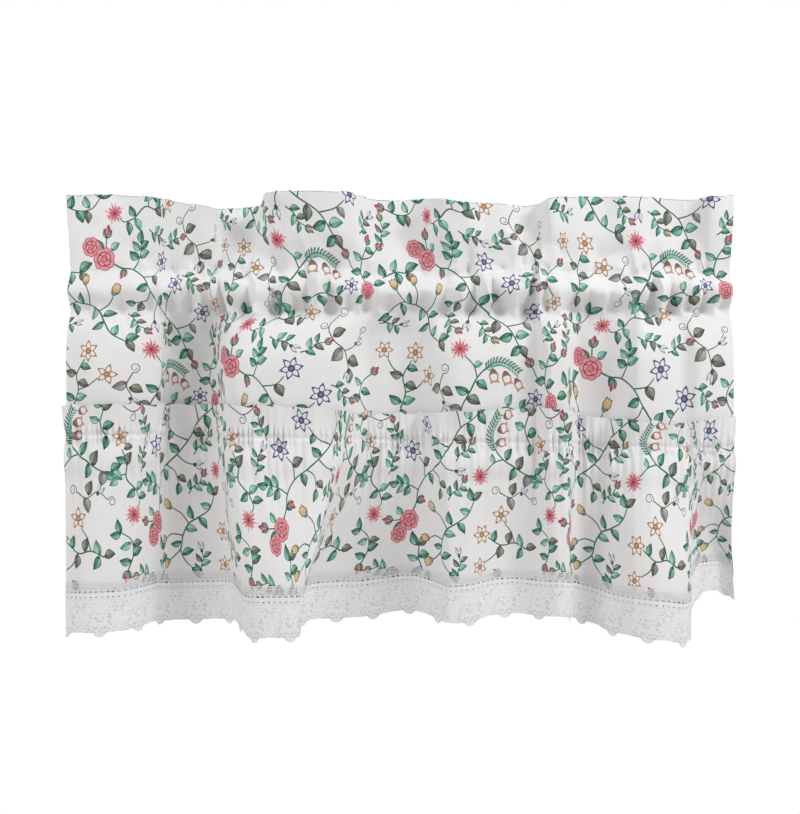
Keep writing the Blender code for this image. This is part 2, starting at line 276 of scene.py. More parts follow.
# Soft ridges and troughs of the panel's front, each starting sharp where the cloth is stitched
PANEL_CREASES = metres((
    # thread, drop, thread at end, drop at end, half width, half width at end, forward
    # dents above the lower stitching, broad at the stitching and closing upwards
    (-310, 114, -305, 100, 7.0, 3.0, -1.6),
    (-273, 114, -279, 94, 6.0, 3.0, -1.8),
    (-247, 114, -244, 100, 7.0, 3.0, -1.6),
    (-229, 114, -226, 98, 4.4, 2.0, -2.4),
    (-211, 114, -207, 84, 5.6, 2.0, -5.6),
    (-194, 114, -199, 98, 5.6, 2.0, -3.6),
    (-178, 114, -181, 82, 4.4, 2.0, -6.0),
    (-153, 115, -150, 92, 5.0, 1.8, -4.4),
    (-123, 115, -127, 94, 6.2, 2.0, -5.0),
    (-104, 114, -108, 98, 6.0, 2.4, -3.6),
    (-93, 114, -91, 82, 3.6, 1.6, -2.8),
    (-69, 115, -73, 80, 5.4, 2.0, -5.8),
    (-50, 114, -52, 100, 5.6, 2.4, -2.4),
    (-34, 114, -33, 96, 4.0, 2.0, -2.6),
    (-11, 114, -10, 100, 5.0, 2.4, -2.2),
    (12, 114, 10, 102, 4.4, 2.4, -1.6),
    (25, 114, 22, 96, 8.0, 3.0, -3.0),
    (45, 114, 46, 92, 7.0, 2.6, -3.6),
    (71, 115, 77, 78, 6.6, 2.0, -6.0),
    (98, 115, 88, 78, 7.6, 2.2, -7.2),
    (129, 116, 133, 74, 8.0, 2.4, -8.4),
    (146, 115, 144, 90, 3.0, 1.6, -4.4),
    (175, 114, 172, 92, 8.4, 3.0, -3.6),
    (190, 114, 187, 96, 6.4, 2.4, -3.2),
    (213, 114, 209, 98, 5.6, 2.4, -2.8),
    (248, 115, 252, 78, 6.0, 2.0, -6.2),
    (271, 115, 267, 80, 5.6, 2.0, -5.8),
    (287, 114, 291, 94, 4.8, 2.0, -3.4),
    (302, 114, 299, 92, 4.2, 2.0, -3.4),
    (319, 114, 321, 96, 4.4, 2.4, -2.4),
    # ridges between them, some of them cones that come to a point above
    (-291, 116, -290, 90, 6.0, 9.0, 1.6),
    (-260, 116, -259, 88, 5.0, 8.0, 1.4),
    (-238, 116, -236, 86, 3.6, 6.0, 2.2),
    (-221, 116, -219, 86, 3.0, 5.0, 2.6),
    (-204, 117, -198, 82, 3.0, 5.5, 3.6),
    (-185, 117, -186, 84, 2.8, 5.0, 3.2),
    (-169, 117, -168, 82, 3.2, 5.5, 3.6),
    (-140, 119, -141, 82, 3.4, 6.5, 4.4),
    (-113, 117, -112, 84, 3.0, 5.5, 2.8),
    (-82, 116, -80, 74, 5.2, 2.0, 4.6),
    (-59, 116, -58, 86, 3.4, 6.0, 2.4),
    (-42, 116, -42, 86, 3.2, 5.5, 2.4),
    (-22, 116, -21, 86, 3.4, 6.0, 2.4),
    (1, 116, 0, 88, 4.0, 7.0, 2.0),
    (34, 116, 34, 86, 3.0, 5.5, 2.0),
    (61, 116, 60, 84, 3.4, 6.0, 2.8),
    (88, 117, 82, 76, 5.0, 1.8, 5.6),
    (114, 117, 116, 84, 4.2, 6.0, 3.6),
    (139, 119, 138, 74, 2.2, 3.0, 5.2),
    (155, 117, 158, 84, 4.0, 7.0, 3.6),
    (183, 116, 182, 88, 3.4, 5.0, 1.6),
    (201, 116, 203, 88, 3.4, 6.0, 2.8),
    (230, 116, 232, 84, 4.8, 8.0, 2.4),
    (259, 117, 256, 78, 4.8, 2.0, 4.4),
    (279, 117, 278, 80, 4.2, 2.0, 3.8),
    (294, 116, 295, 82, 3.0, 5.0, 2.8),
    (310, 116, 311, 86, 3.2, 5.0, 2.6),
    # short ones below the upper stitching
    (-298, 74, -300, 88, 5.0, 7.0, 1.4),
    (-281, 74, -284, 86, 4.4, 7.0, -1.4),
    (-252, 74, -250, 88, 4.4, 6.0, 1.4),
    (-224, 74, -221, 90, 3.4, 5.0, -2.0),
    (-208, 74, -206, 88, 3.2, 5.0, 2.0),
    (-188, 74, -191, 92, 3.4, 5.0, -2.6),
    (-159, 74, -160, 90, 3.4, 5.0, -2.4),
    (-146, 74, -144, 90, 3.0, 5.0, 2.4),
    (-118, 74, -121, 88, 3.6, 6.0, -2.2),
    (-99, 74, -102, 86, 3.4, 5.5, 1.8),
    (-64, 74, -62, 88, 3.6, 6.0, -1.8),
    (-30, 74, -30, 88, 4.0, 6.5, -1.6),
    (-4, 74, -6, 86, 4.0, 6.5, 1.4),
    (22, 74, 24, 88, 4.0, 6.0, -1.8),
    (52, 74, 50, 90, 3.4, 5.5, 2.0),
    (68, 74, 67, 88, 3.2, 5.0, -2.4),
    (102, 74, 104, 90, 3.4, 5.5, -2.4),
    (121, 74, 123, 90, 3.2, 5.0, 2.2),
    (147, 74, 148, 88, 2.6, 4.0, -2.6),
    (170, 74, 168, 88, 4.0, 6.0, 2.0),
    (196, 74, 195, 86, 3.6, 6.0, -1.8),
    (221, 74, 224, 88, 4.0, 6.0, 1.6),
    (243, 74, 241, 90, 3.2, 5.0, -2.4),
    (266, 74, 268, 88, 3.2, 5.0, -2.0),
    (288, 74, 286, 88, 3.4, 5.0, 2.0),
    (306, 74, 305, 88, 3.2, 5.0, -1.8),
    # upwards from the upper stitching, into the heading
    (-296, 76, -290, 50, 4.0, 8.0, 1.6),
    (-262, 76, -270, 42, 4.0, 8.5, -2.0),
    (-222, 76, -214, 36, 3.6, 7.0, 2.2),
    (-196, 78, -190, 20, 3.4, 5.5, 3.0),
    (-186, 78, -181, 40, 3.4, 6.0, -2.6),
    (-146, 78, -141, 44, 3.4, 5.0, 2.2),
    (-122, 76, -126, 40, 3.4, 6.0, -2.0),
    (-88, 78, -94, 30, 3.6, 8.0, 2.2),
    (-68, 76, -70, 38, 3.6, 8.0, -1.8),
    (-30, 76, -34, 46, 3.6, 7.5, 1.6),
    (18, 76, 22, 46, 3.6, 7.5, -1.8),
    (56, 76, 60, 18, 3.6, 7.5, 2.4),
    (68, 76, 74, 40, 3.4, 6.0, -2.0),
    (112, 78, 118, 30, 3.2, 5.8, 2.4),
    (122, 78, 127, 34, 3.2, 5.8, -2.2),
    (136, 78, 150, 44, 3.2, 6.0, 2.6),
    (196, 76, 202, 44, 3.6, 7.5, -1.8),
    (236, 76, 230, 40, 3.6, 7.5, 2.0),
    (262, 76, 262, 46, 3.6, 7.0, -1.8),
    (300, 76, 296, 44, 3.6, 7.0, 1.8),
    # broad soft ones in the heading
    (-304, 30, -300, 55, 8.0, 10.0, -1.6),
    (-262, 56, -250, 70, 9.0, 8.0, -1.6),
    (-108, 18, -112, 45, 7.0, 8.0, -2.0),
    (-80, 4, -82, 30, 10.0, 12.0, 1.6),
    (-54, 40, -60, 66, 10.0, 12.0, 1.8),
    (6, 40, 12, 70, 12.0, 10.0, -2.0),
    (47, 30, 45, 62, 8.0, 10.0, 2.0),
    (83, 64, 94, 44, 6.0, 8.0, -2.2),
    (113, 36, 116, 68, 6.0, 6.0, 2.2),
    (144, 66, 152, 36, 6.0, 10.0, 2.4),
    (160, 50, 166, 66, 7.0, 8.0, -2.0),
    (205, 62, 240, 50, 11.0, 12.0, -2.6),
    (232, 20, 242, 28, 6.0, 7.0, -1.4),
    (264, 62, 258, 40, 7.0, 10.0, 1.8),
    (285, 4, 286, 30, 8.0, 10.0, 1.8),
    # downwards from the lower stitching, into the hanging panel
    (-298, 115, -284, 160, 4.0, 9.0, 2.0),
    (-278, 115, -264, 152, 4.0, 8.0, -2.0),
    (-243, 114, -246, 146, 3.6, 7.0, 1.6),
    (-202, 114, -198, 150, 3.4, 7.0, 2.2),
    (-141, 114, -139, 152, 3.4, 7.0, 2.4),
    (-127, 114, -114, 142, 3.6, 7.0, -2.2),
    (-74, 114, -66, 146, 3.6, 8.0, -1.8),
    (-30, 114, -30, 148, 3.6, 8.0, 1.4),
    (46, 114, 48, 150, 3.6, 7.5, -1.8),
    (90, 114, 84, 146, 3.4, 7.0, -2.0),
    (121, 114, 120, 146, 3.4, 6.0, -2.2),
    (140, 114, 143, 170, 3.0, 4.6, 2.4),
    (190, 114, 190, 140, 3.6, 7.5, -1.8),
    (238, 114, 240, 146, 3.4, 7.5, 2.2),
    (254, 114, 262, 140, 3.4, 7.0, -2.0),
    (292, 114, 296, 140, 3.4, 7.0, -1.6),
))

# Soft ridges and troughs of the ruffle, whose places are a thread and a share of the ruffle's fall
RUFFLE_CREASE_UNITS = (1000, 1, 1000, 1, 1000, 1000, 1000)
RUFFLE_CREASES = metres((
    # thread, fall, thread at end, fall at end, half width, half width at end, forward
    (-300, 0.02, -296, 0.55, 3.0, 8.0, 2.0),
    (-262, 0.02, -262, 0.80, 2.6, 5.0, 2.4),
    (-240, 0.02, -246, 0.70, 2.6, 6.0, -1.6),
    (-216, 0.02, -212, 0.45, 2.6, 6.0, 2.0),
    (-190, 0.02, -188, 0.50, 2.6, 6.0, 1.6),
    (-140, 0.02, -132, 0.75, 2.6, 5.5, 2.4),
    (-118, 0.02, -104, 0.85, 2.8, 5.5, -1.6),
    (-92, 0.02, -82, 0.70, 2.6, 5.0, 2.4),
    (-70, 0.02, -62, 0.60, 2.6, 4.0, -1.6),
    (-44, 0.02, -46, 0.60, 2.6, 5.5, 1.8),
    (-18, 0.02, -16, 0.55, 2.6, 6.0, 2.2),
    (12, 0.02, 10, 0.60, 2.6, 6.0, 1.8),
    (46, 0.02, 48, 0.90, 2.8, 6.0, 2.2),
    (66, 0.02, 62, 0.60, 2.8, 6.0, -1.4),
    (92, 0.02, 96, 0.60, 2.6, 6.0, 2.2),
    (122, 0.02, 124, 0.80, 2.8, 6.0, 2.2),
    (140, 0.02, 144, 0.70, 2.6, 5.0, -1.2),
    (158, 0.02, 158, 0.90, 2.4, 4.4, 2.0),
    (186, 0.02, 190, 0.60, 2.6, 6.0, 2.0),
    (214, 0.02, 216, 0.60, 2.8, 6.0, 2.2),
    (240, 0.02, 246, 0.65, 2.6, 6.0, 2.0),
    (268, 0.02, 276, 0.85, 2.8, 6.0, 2.6),
    (286, 0.02, 290, 0.60, 2.6, 4.0, -1.2),
    (312, 0.02, 316, 0.60, 2.6, 6.0, 1.8),
), RUFFLE_CREASE_UNITS)

# How sharp a crease's middle is, from 1 for a round one down to a half for a keen one
CREASE_SHARPNESS = 0.68

# How much deeper the panel's creases are than its table says
PANEL_CREASE_DEPTH = 1.85

# Fine gathers along the ruffle's seam, and the flat width that they take up
GATHERED_FULLNESS = 1.25
GATHER_PITCH = 0.0076
GATHER_DEPTH = 0.0036
GATHER_FADE = 0.22
GATHER_START = 0.003
GATHER_PINCH = 0.20
FRILL_GATHER_DEPTH = 0.0034
FRILL_GATHER_FADE = 0.8
DIMPLE_PITCH = 0.0047
DIMPLE_DEPTH = 0.0032
DIMPLE_REACH = 0.008

# What keeps gathers and waves uneven: sums of slower waves along the threads, some about a middle value
GATHER_DRIFT = (
    # size, rate, start
    (2.6, 31, 0.0),
    (1.9, 74, 1.3),
    (1.1, 163, 0.4),
)
GATHER_HEIGHT_MIDDLE = 0.62
GATHER_HEIGHT = (
    (0.24, 57, 2.1),
    (0.14, 211, 0.0),
)
GATHER_FADE_MIDDLE = 1.18
GATHER_FADE_WAVES = (
    (0.10, 43, 0.0),
    (0.06, 118, 0.8),
)
DIMPLE_DRIFT = (
    (2.2, 53, 0.7),
    (1.4, 127, 0.0),
    (0.9, 307, 2.0),
)
DIMPLE_STRENGTH_MIDDLE = 0.55
DIMPLE_STRENGTH = (
    (0.35, 39, 1.0),
    (0.35, 173, 0.3),
)
FRILL_DRIFT = ((3.0, 9, 0.0),)
FRILL_EDGE_DRIFT = ((3.0, 26, 0.0),)
FRILL_EDGE_RIPPLE = ((0.7, 331, 0.0),)

# How far the upper end of the pocket's swell rises or sags from the upper stitching
POCKET_EDGE = metres((
    # thread, rise
    (-335, -3),
    (-265, 2),
    (-225, -2),
    (-190, 6),
    (-150, 1),
    (-104, 1),
    (-83, 8),
    (-55, 1),
    (-10, -6),
    (30, -7),
    (70, -4),
    (90, 4),
    (118, 1),
    (139, 10),
    (162, -1),
    (190, -6),
    (222, -10),
    (245, -2),
    (260, 6),
    (285, 1),
    (302, -6),
    (335, -4),
))

# How far the frill's upper edge rises or sags from its even height
FRILL_EDGE = metres((
    # across, rise
    (-345, 0.0),
    (-250, 1.5),
    (-165, 2.0),
    (-112, 1.0),
    (-66, -1.5),
    (-30, -8.0),
    (-12, -3.5),
    (30, -3.0),
    (100, 1.5),
    (128, 3.0),
    (160, 1.0),
    (200, -5.5),
    (240, -8.0),
    (266, -10.5),
    (290, -8.0),
    (314, -3.0),
    (345, -4.0),
))

# Least square of the cosine of a mitre, so that a sharp fold's corner isn't thrown far out
SHARPEST_MITRE = 0.4

# Grids of the printed sheets, in bands up the cloth, finer where it is creased and gathered
PANEL_BANDS = (
    # counted from, up to, step across, step up
    ("lower stitching", -0.020, 0.0050, 0.0050),
    ("lower stitching", -0.005, 0.0032, 0.0030),
    ("lower stitching", 0.032, 0.0018, 0.0020),
    ("upper stitching", 0.026, 0.0030, 0.0030),
    ("end", 0.0, 0.0048, 0.0048),
)
RUFFLE_BANDS = (
    # counted from, up to, step across, step up
    ("seam", -0.060, 0.0036, 0.0036),
    ("seam", -0.010, 0.0020, 0.0032),
    ("seam", 0.010, 0.0013, 0.0020),
    ("end", 0.0, 0.0020, 0.0030),
)

# How close two places of a cut cloth have to be to count as one
SAME_PLACE = 1e-6

# Machine stitches
STITCH_PITCH = 0.0031
STITCH_LENGTH = 0.0024
STITCH_ROW_START = 0.004
STITCH_ROW_END = 0.006
STITCH_SIDES = 5
THREAD_RADIUS = 0.00016
STITCH_PROFILE = (
    # along, thickness, rise: shares of the stitch's length and of the thread's radius
    (0.0, 0.02, 0.0),
    (0.14, 0.8, 0.7),
    (0.5, 1.0, 1.0),
    (0.86, 0.8, 0.7),
    (1.0, 0.02, 0.0),
)
LACE_STITCH_RISE = 0.0030

# How far the lace stands off the ruffle
LACE_LIFT = 0.0012

# Weave and threads
UV_NAME = "OFBake"
INK = "ink"
WEAVE_PITCH = 0.00052
WEAVE_HEIGHT = 0.00007
WEAVE_SHARE = 0.35
WRONG_SIDE_FADE = 0.55
LACE_THREAD_PITCH = 0.0007
LACE_THREAD_SLANT = 0.6
LACE_THREAD_SHARE = 0.4
LACE_THREAD_HEIGHT = 0.00015
SEWING_TWIST_HEIGHT = 0.00008
MOTTLE_RANGE = (0.3, 0.7)

# Camera: at the curtain's distance one pixel of the photograph is a millimetre
PHOTO_HEIGHT = 814
CAMERA_DISTANCE = 0.90
CAMERA_HEIGHT = -0.212
SENSOR = 36.0

# Stage and light
FLOOR_HEIGHT = -1.6
FLOOR_RADIUS = 2.0
FLOOR_SIDES = 96
BACKDROP_COLOUR = (1.0, 1.0, 1.0, 1.0)
FILL_COLOUR = (1.0, 0.988, 0.970, 1.0)
FILL_STRENGTH = 0.578
LAMP_COLOUR = (0.955, 0.975, 1.0)
LAMPS = (
    # name, place, diameter, watts
    ("key", (1.36, -0.96, 0.84), 0.6, 16.6),
    ("side", (-1.36, -0.96, 0.64), 0.8, 8.2),
)


def tint(red, green, blue):
    """A linear colour from the three numbers, 0 to 255, that a picture shows."""
    shown = np.array((red, green, blue)) / 255
    return tuple(np.where(shown <= 0.04045, shown / 12.92, ((shown + 0.055) / 1.055) ** 2.4))


# Colours of the floor, the sewing thread's two shades, the lace with a grey painted as the shade in its net's
# eyes, and the cloth and its print
FLOOR_TINT = tint(236, 235, 232)
THREAD_SHADES = (tint(226, 225, 222), tint(240, 239, 237))
LACE_WHITE = tint(247, 246, 249)
NET_WHITE = tint(246, 244, 248)
# Grey of the lace's closed eyes: painted shade of the net's holes
EYE_PAINTED_SHADE = tint(222, 219, 225)
GROUND = tint(244, 243, 243)
STEM = tint(70, 116, 101)
TENDRIL = tint(104, 100, 88)
PINK = tint(208, 116, 130)
PINK_LIGHT = tint(238, 192, 198)
BLUE = tint(84, 90, 132)
BLUE_PALE = tint(236, 238, 246)
ORANGE = tint(178, 132, 98)
OCHRE_DARK = tint(140, 104, 66)
OCHRE = tint(210, 170, 122)
OCHRE_LIGHT = tint(238, 214, 176)
CREAM = tint(246, 241, 233)
BROWN = tint(118, 88, 80)
BLUSH = tint(204, 162, 152)

# Dark, middle and light tone of the leaves and petals
TONES = {
    "green": (tint(46, 99, 83), tint(94, 150, 130), tint(160, 208, 191)),
    "mint": (tint(74, 136, 117), tint(134, 192, 172), tint(196, 228, 215)),
    "olive": (tint(80, 87, 76), tint(122, 128, 115), tint(170, 174, 161)),
    "grey": (tint(110, 114, 107), tint(148, 152, 145), tint(192, 195, 190)),
    "rose": (tint(152, 58, 72), tint(206, 106, 118), tint(240, 174, 181)),
    "blue": (BLUE, BLUE_PALE, BLUE_PALE),
    "ochre": (OCHRE_DARK, OCHRE, OCHRE_LIGHT),
}
ROSE_DARK, ROSE, ROSE_LIGHT = TONES["rose"]

# The print's repeat in millimetres: each column of it starts half a repeat above the one before
REPEAT_ACROSS = 232.0
REPEAT_UP = 240.0

# How the print lies on each cloth: the ruffle is cut across it
PANEL_PRINT = {"turn": 0, "shift": (-20.0, 30.0)}
RUFFLE_PRINT = {"turn": 90, "shift": (60.0, 10.0)}

# Step along a stem's curve, and how much of its width is left at its tip
STEM_STEP = 3.0
STEM_TAPER = 0.75
TENDRIL_TAPER = 0.7

# Shapes of the print's leaves and flowers, as shares of each one's own length or size, with angles in degrees
LEAF_STEPS = 6
LEAF_TAPER = 0.85
LEAF_LIGHT_HALF = 0.8
LEAF_DARK_HALF = 0.74
PETAL_CORNERS = 9
PETAL_STRETCH = 1.15
PETAL_SHIFT = 0.10
PETAL_FILL = 0.84
STAR_STEPS = 6
STAR_TAPER = 0.75
STAR_HALF_WIDTH = 0.14
STAR_FILL_START = 0.14
STAR_FILL_LENGTH = 0.74
STAR_LINE = 0.045
STAR_LEAST_FILL = 0.02
STAR_DISCS = (
    # radius, corners
    (0.095, 8),
    (0.065, 6),
)
TULIP_OUTLINE = (
    # one side, then its two tips
    ((0.14, 0.26), (0.45, 0.36), (0.80, 0.30), (1.0, 0.26), (0.88, 0.10)),
    (0.0, 0.0),
    (1.06, 0.0),
)
TULIP_MIDDLE = (0.50, 0.0)
TULIP_FILL = 0.78
TULIP_LEAF_BACK = 0.12
TULIP_LEAF_ANGLE = 28
TULIP_LEAF_LENGTH = 0.46
TULIP_LEAF_WIDTH = 0.20
BELL_OUTLINE = (
    # one side, then its two tips
    ((0.10, 0.16), (0.42, 0.33), (0.78, 0.28), (1.0, 0.34)),
    (0.0, 0.0),
    (0.90, 0.0),
)
BELL_HOLLOW = (
    ((0.42, 0.24), (0.72, 0.19)),
    (0.34, 0.0),
    (0.80, 0.0),
)
BLUE_BUD = (
    # turn, length, width, tone, bend
    (16, 1.0, 0.36, "blue", 0.05),
    (-16, 0.9, 0.36, "blue", -0.05),
)
BLUE_BUD_CAP = 0.17
PLAIN_BUD = (
    # turn, length, width, tone where it isn't the bud's own, bend
    (0, 1.0, 0.52, None, 0.0),
    (24, 0.78, 0.28, "olive", 0.1),
    (-24, 0.78, 0.28, "green", -0.1),
)
FEATHER_LEAVES = (
    # turn, length, width, tone, bend
    (52, 1.0, 0.34, "green", 0.05),
    (-52, 0.85, 0.32, "mint", -0.05),
)
TUFT_PETAL_SIDE = ((0.5, 0.7), (0.85, 0.6))
TUFT_UNEVENNESS = 0.14
TUFT_RATE = 2.4
TUFT_HEART = 0.09
CURL_TURNS = 1.3
CURL_POINTS = 12
CURL_CLOSING = 0.62
SPRIG_LEAF_WIDTH = 0.52

# Widths of its finer stems, a curl's step, and a sprig's bud, in millimetres and degrees
SPRIG_STEM_WIDTH = 1.4
SPRIG_TIP_WIDTH = 1.0
SPRIG_BUD_LENGTH = 11
SPRIG_BUD_TURN = 24
FEATHER_STEM_WIDTH = 1.5
FEATHER_TIP_WIDTH = 0.9
CURL_WIDTH = 1.0
CURL_TIP_WIDTH = 0.7
CURL_STEP = 2.5

# Stems, by the points that each runs through
STEMS = (
    # width, points
    (1.8, (4, 150), (18, 157), (32, 157), (46, 166)),
    (1.8, (62, 170), (78, 162), (92, 160), (106, 150), (116, 134)),
    (1.5, (92, 160), (98, 172), (101, 186)),
    (1.5, (60, 180), (60, 192)),
    (1.5, (106, 150), (120, 152), (128, 160)),
    (1.8, (116, 134), (126, 120), (140, 106), (160, 92), (172, 72)),
    (1.5, (140, 106), (146, 122), (158, 134)),
    (1.5, (160, 92), (176, 96), (188, 104)),
    (1.5, (126, 120), (118, 108), (116, 98)),
    (1.4, (116, 134), (110, 124), (98, 120)),
    (1.8, (62, 98), (56, 110), (44, 118), (30, 122), (20, 134)),
    (1.5, (56, 110), (66, 118), (72, 128)),
    (1.5, (44, 118), (46, 130), (42, 140)),
    (1.5, (30, 122), (20, 118), (12, 110)),
    (1.6, (62, 98), (70, 84), (84, 76)),
    (1.8, (120, 26), (128, 40), (140, 50), (152, 52)),
    (1.7, (120, 26), (112, 12), (110, 0)),
    (1.5, (128, 40), (124, 52), (114, 62)),
    (1.7, (30, 10), (36, 26), (34, 42), (44, 58)),
    (1.5, (34, 42), (24, 50), (18, 60)),
    (1.5, (36, 26), (48, 30), (58, 38)),
    (1.8, (214, 20), (204, 34), (206, 50), (216, 64)),
    (1.5, (204, 34), (192, 40), (186, 50)),
    (1.5, (206, 50), (220, 52), (230, 60)),
    (1.7, (92, 210), (104, 222), (118, 220), (132, 226)),
    (1.4, (108, 222), (106, 234)),
    (1.4, (92, 210), (80, 206), (72, 212)),
    (1.5, (16, 222), (30, 216), (44, 218), (52, 228)),
    (1.5, (222, 128), (214, 142), (220, 156), (232, 164)),
    (1.5, (146, 6), (158, 12), (172, 8), (182, 16)),
)

# Thin curling stems
TENDRILS = (
    # width, points
    (1.5, (196, 170), (190, 186), (176, 196), (168, 212), (176, 226)),
    (1.2, (190, 186), (204, 192), (212, 204)),
    (1.3, (92, 44), (86, 30), (92, 16), (84, 4)),
)

# How many times longer and broader each leaf is than its row says
LEAF_LONGER = 1.05
LEAF_BROADER = 1.18

LEAVES = (
    # across, up, angle, length, width, tone
    (8, 152, 120, 16, 8, "green"),
    (16, 156, 75, 15, 7, "mint"),
    (18, 157, -70, 17, 8, "green"),
    (30, 157, 30, 18, 9, "green"),
    (31, 157, -58, 16, 9, "olive"),
    (58, 180, 130, 12, 7, "green"),
    (66, 178, 40, 12, 7, "mint"),
    (98, 172, 150, 13, 8, "green"),
    (98, 172, 25, 14, 8, "mint"),
    (100, 180, 140, 13, 7, "mint"),
    (100, 180, 40, 13, 7, "green"),
    (101, 185, 88, 14, 7, "green"),
    (78, 162, -75, 13, 7, "green"),
    (118, 152, -55, 15, 9, "olive"),
    (112, 142, -150, 14, 8, "green"),
    (98, 120, 170, 13, 7, "green"),
    (104, 121, -120, 12, 7, "olive"),
    (130, 116, 60, 15, 8, "green"),
    (148, 100, -100, 16, 9, "olive"),
    (166, 84, -160, 16, 9, "green"),
    (168, 80, 10, 16, 9, "mint"),
    (172, 72, -60, 15, 8, "olive"),
    (172, 72, -130, 14, 8, "green"),
    (152, 128, 165, 12, 7, "green"),
    (178, 97, -50, 13, 7, "grey"),
    (12, 110, -140, 15, 7, "green"),
    (24, 120, -70, 15, 7, "green"),
    (38, 120, 100, 13, 6, "green"),
    (50, 115, -95, 15, 7, "mint"),
    (60, 104, 15, 15, 7, "green"),
    (62, 98, -140, 15, 7, "green"),
    (74, 81, 80, 13, 7, "mint"),
    (84, 76, 20, 15, 8, "green"),
    (84, 76, -50, 14, 7, "olive"),
    (126, 36, -30, 15, 8, "green"),
    (120, 26, 160, 16, 8, "green"),
    (116, 20, -20, 16, 9, "olive"),
    (112, 10, 170, 15, 9, "grey"),
    (124, 50, 20, 11, 6, "mint"),
    (110, 0, -60, 15, 8, "green"),
    (110, 0, -120, 15, 8, "mint"),
    (35, 34, -20, 14, 8, "olive"),
    (34, 44, 170, 14, 8, "olive"),
    (38, 50, -10, 13, 7, "green"),
    (32, 16, 150, 15, 8, "green"),
    (32, 14, 20, 15, 8, "mint"),
    (30, 10, -80, 14, 8, "olive"),
    (194, 176, -10, 19, 11, "olive"),
    (186, 190, -130, 18, 11, "grey"),
    (174, 200, 30, 16, 10, "olive"),
    (196, 170, -90, 16, 9, "olive"),
    (206, 30, 20, 15, 8, "green"),
    (204, 40, -170, 15, 8, "green"),
    (206, 50, 150, 14, 7, "mint"),
    (212, 58, -10, 14, 7, "green"),
    (224, 20, 10, 15, 8, "green"),
    (206, 10, -140, 15, 8, "green"),
    (84, 207, -80, 14, 7, "green"),
    (92, 210, -60, 14, 7, "mint"),
    (94, 212, 130, 13, 7, "green"),
    (106, 234, 70, 15, 8, "green"),
    (106, 232, 130, 13, 7, "mint"),
    (116, 221, -30, 15, 8, "olive"),
    (122, 220, 80, 13, 7, "green"),
    (132, 224, -80, 12, 6, "olive"),
    (24, 218, 80, 13, 7, "green"),
    (28, 217, -60, 14, 8, "green"),
    (38, 217, -80, 13, 7, "olive"),
    (42, 218, 110, 13, 7, "mint"),
    (52, 228, 20, 14, 7, "green"),
    (52, 228, 95, 14, 7, "green"),
    (216, 140, 170, 14, 8, "olive"),
    (216, 146, -10, 14, 8, "green"),
    (218, 154, 150, 13, 7, "mint"),
    (146, 6, 175, 14, 7, "green"),
    (152, 9, -70, 14, 8, "green"),
    (160, 12, 70, 13, 7, "mint"),
    (170, 9, -60, 14, 8, "olive"),
    (174, 9, 60, 12, 6, "green"),
    (87, 34, -160, 16, 9, "grey"),
    (88, 28, -20, 15, 9, "olive"),
)

# A small sprig's stem and leaves
SPRIG_STEM = ((0, 0), (9, 4), (17, 3), (24, 7))
SPRIG_LEAVES = (
    # along, aside, turn, length, tone
    (4, 2, 60, 12, "green"),
    (9, 4, -50, 13, "mint"),
    (14, 3, 62, 12, "olive"),
    (18, 3, -42, 11, "green"),
)

# Small sprigs in the spaces between the branches
SPRIGS = (
    # across, up, angle, way round, tone of its bud
    (126, 98, -62, 1, "ochre"),
    (143, 184, 40, -1, "rose"),
    (174, 152, -48, 1, "rose"),
    (205, 74, 58, -1, "blue"),
    (3, 97, -18, 1, "blue"),
    (8, 184, 72, 1, "ochre"),
    (86, 108, -62, 1, "rose"),
    (110, 200, -6, -1, "blue"),
)

# A rose's rings of petals, from the outside in, and the discs between them, as shares of its size
ROSE_RINGS = (
    # reach, petal's radius, petals, turn, edge
    (0.31, 0.195, 7, 0, ROSE),
    (0.17, 0.150, 5, 30, ROSE_DARK),
    (0.055, 0.075, 3, 0, ROSE_DARK),
)
ROSE_DISCS = (
    # radius, colour, far colour, corners
    (0.32, ROSE, ROSE_DARK, 12),
    (0.15, ROSE_DARK, ROSE, 8),
)

ROSES = (
    # across, up, size, angle
    (44, 182, 20, 20),
    (59, 170, 24, 75),
    (214, 15, 21, 40),
)

STARS = (
    # across, up, size, petals, angle, colour
    (135, 168, 25, 6, 12, "blue"),
    (164, 142, 25, 6, 20, "blue"),
    (197, 110, 24, 6, 50, "blue"),
    (190, 20, 21, 6, 25, "blue"),
    (48, 66, 23, 6, 30, "orange"),
    (67, 42, 23, 5, 0, "orange"),
    (14, 69, 20, 6, 60, "orange"),
    (144, 228, 22, 5, 10, "orange"),
    (224, 120, 21, 6, 40, "orange"),
)

TULIPS = (
    # across, up, angle, length
    (20, 136, 118, 14),
    (42, 141, 100, 13),
    (73, 130, 62, 14),
)

BELLS = (
    # across, up, angle, length
    (145, 49, -82, 15),
    (157, 47, -74, 15),
    (168, 40, -62, 14),
)

BUDS = (
    # across, up, angle, length, tone
    (60, 190, 82, 14, "rose"),
    (84, 160, -110, 13, "rose"),
    (216, 64, 60, 13, "rose"),
    (186, 50, 120, 13, "rose"),
    (230, 60, 40, 12, "rose"),
    (16, 222, 165, 13, "rose"),
    (232, 164, 40, 12, "rose"),
    (116, 98, -100, 13, "blue"),
    (196, 166, -120, 13, "blue"),
    (206, 194, 20, 12, "blue"),
    (90, 16, -40, 12, "blue"),
)

# A tuft's rings of narrow petals, from the outside in
TUFT_RINGS = (
    # turn in petals, petals, length, breadth, colour
    (0.0, 13, 0.52, 0.085, PINK_LIGHT),
    (0.5, 11, 0.40, 0.075, PINK),
    (0.2, 9, 0.24, 0.06, ROSE),
)

TUFTS = (
    # across, up, size, angle
    (110, 68, 21, 10),
    (68, 214, 20, 30),
)

FEATHERS = (
    # width, points
    (7.0, (136, 47), (148, 55), (160, 53), (173, 44)),
)

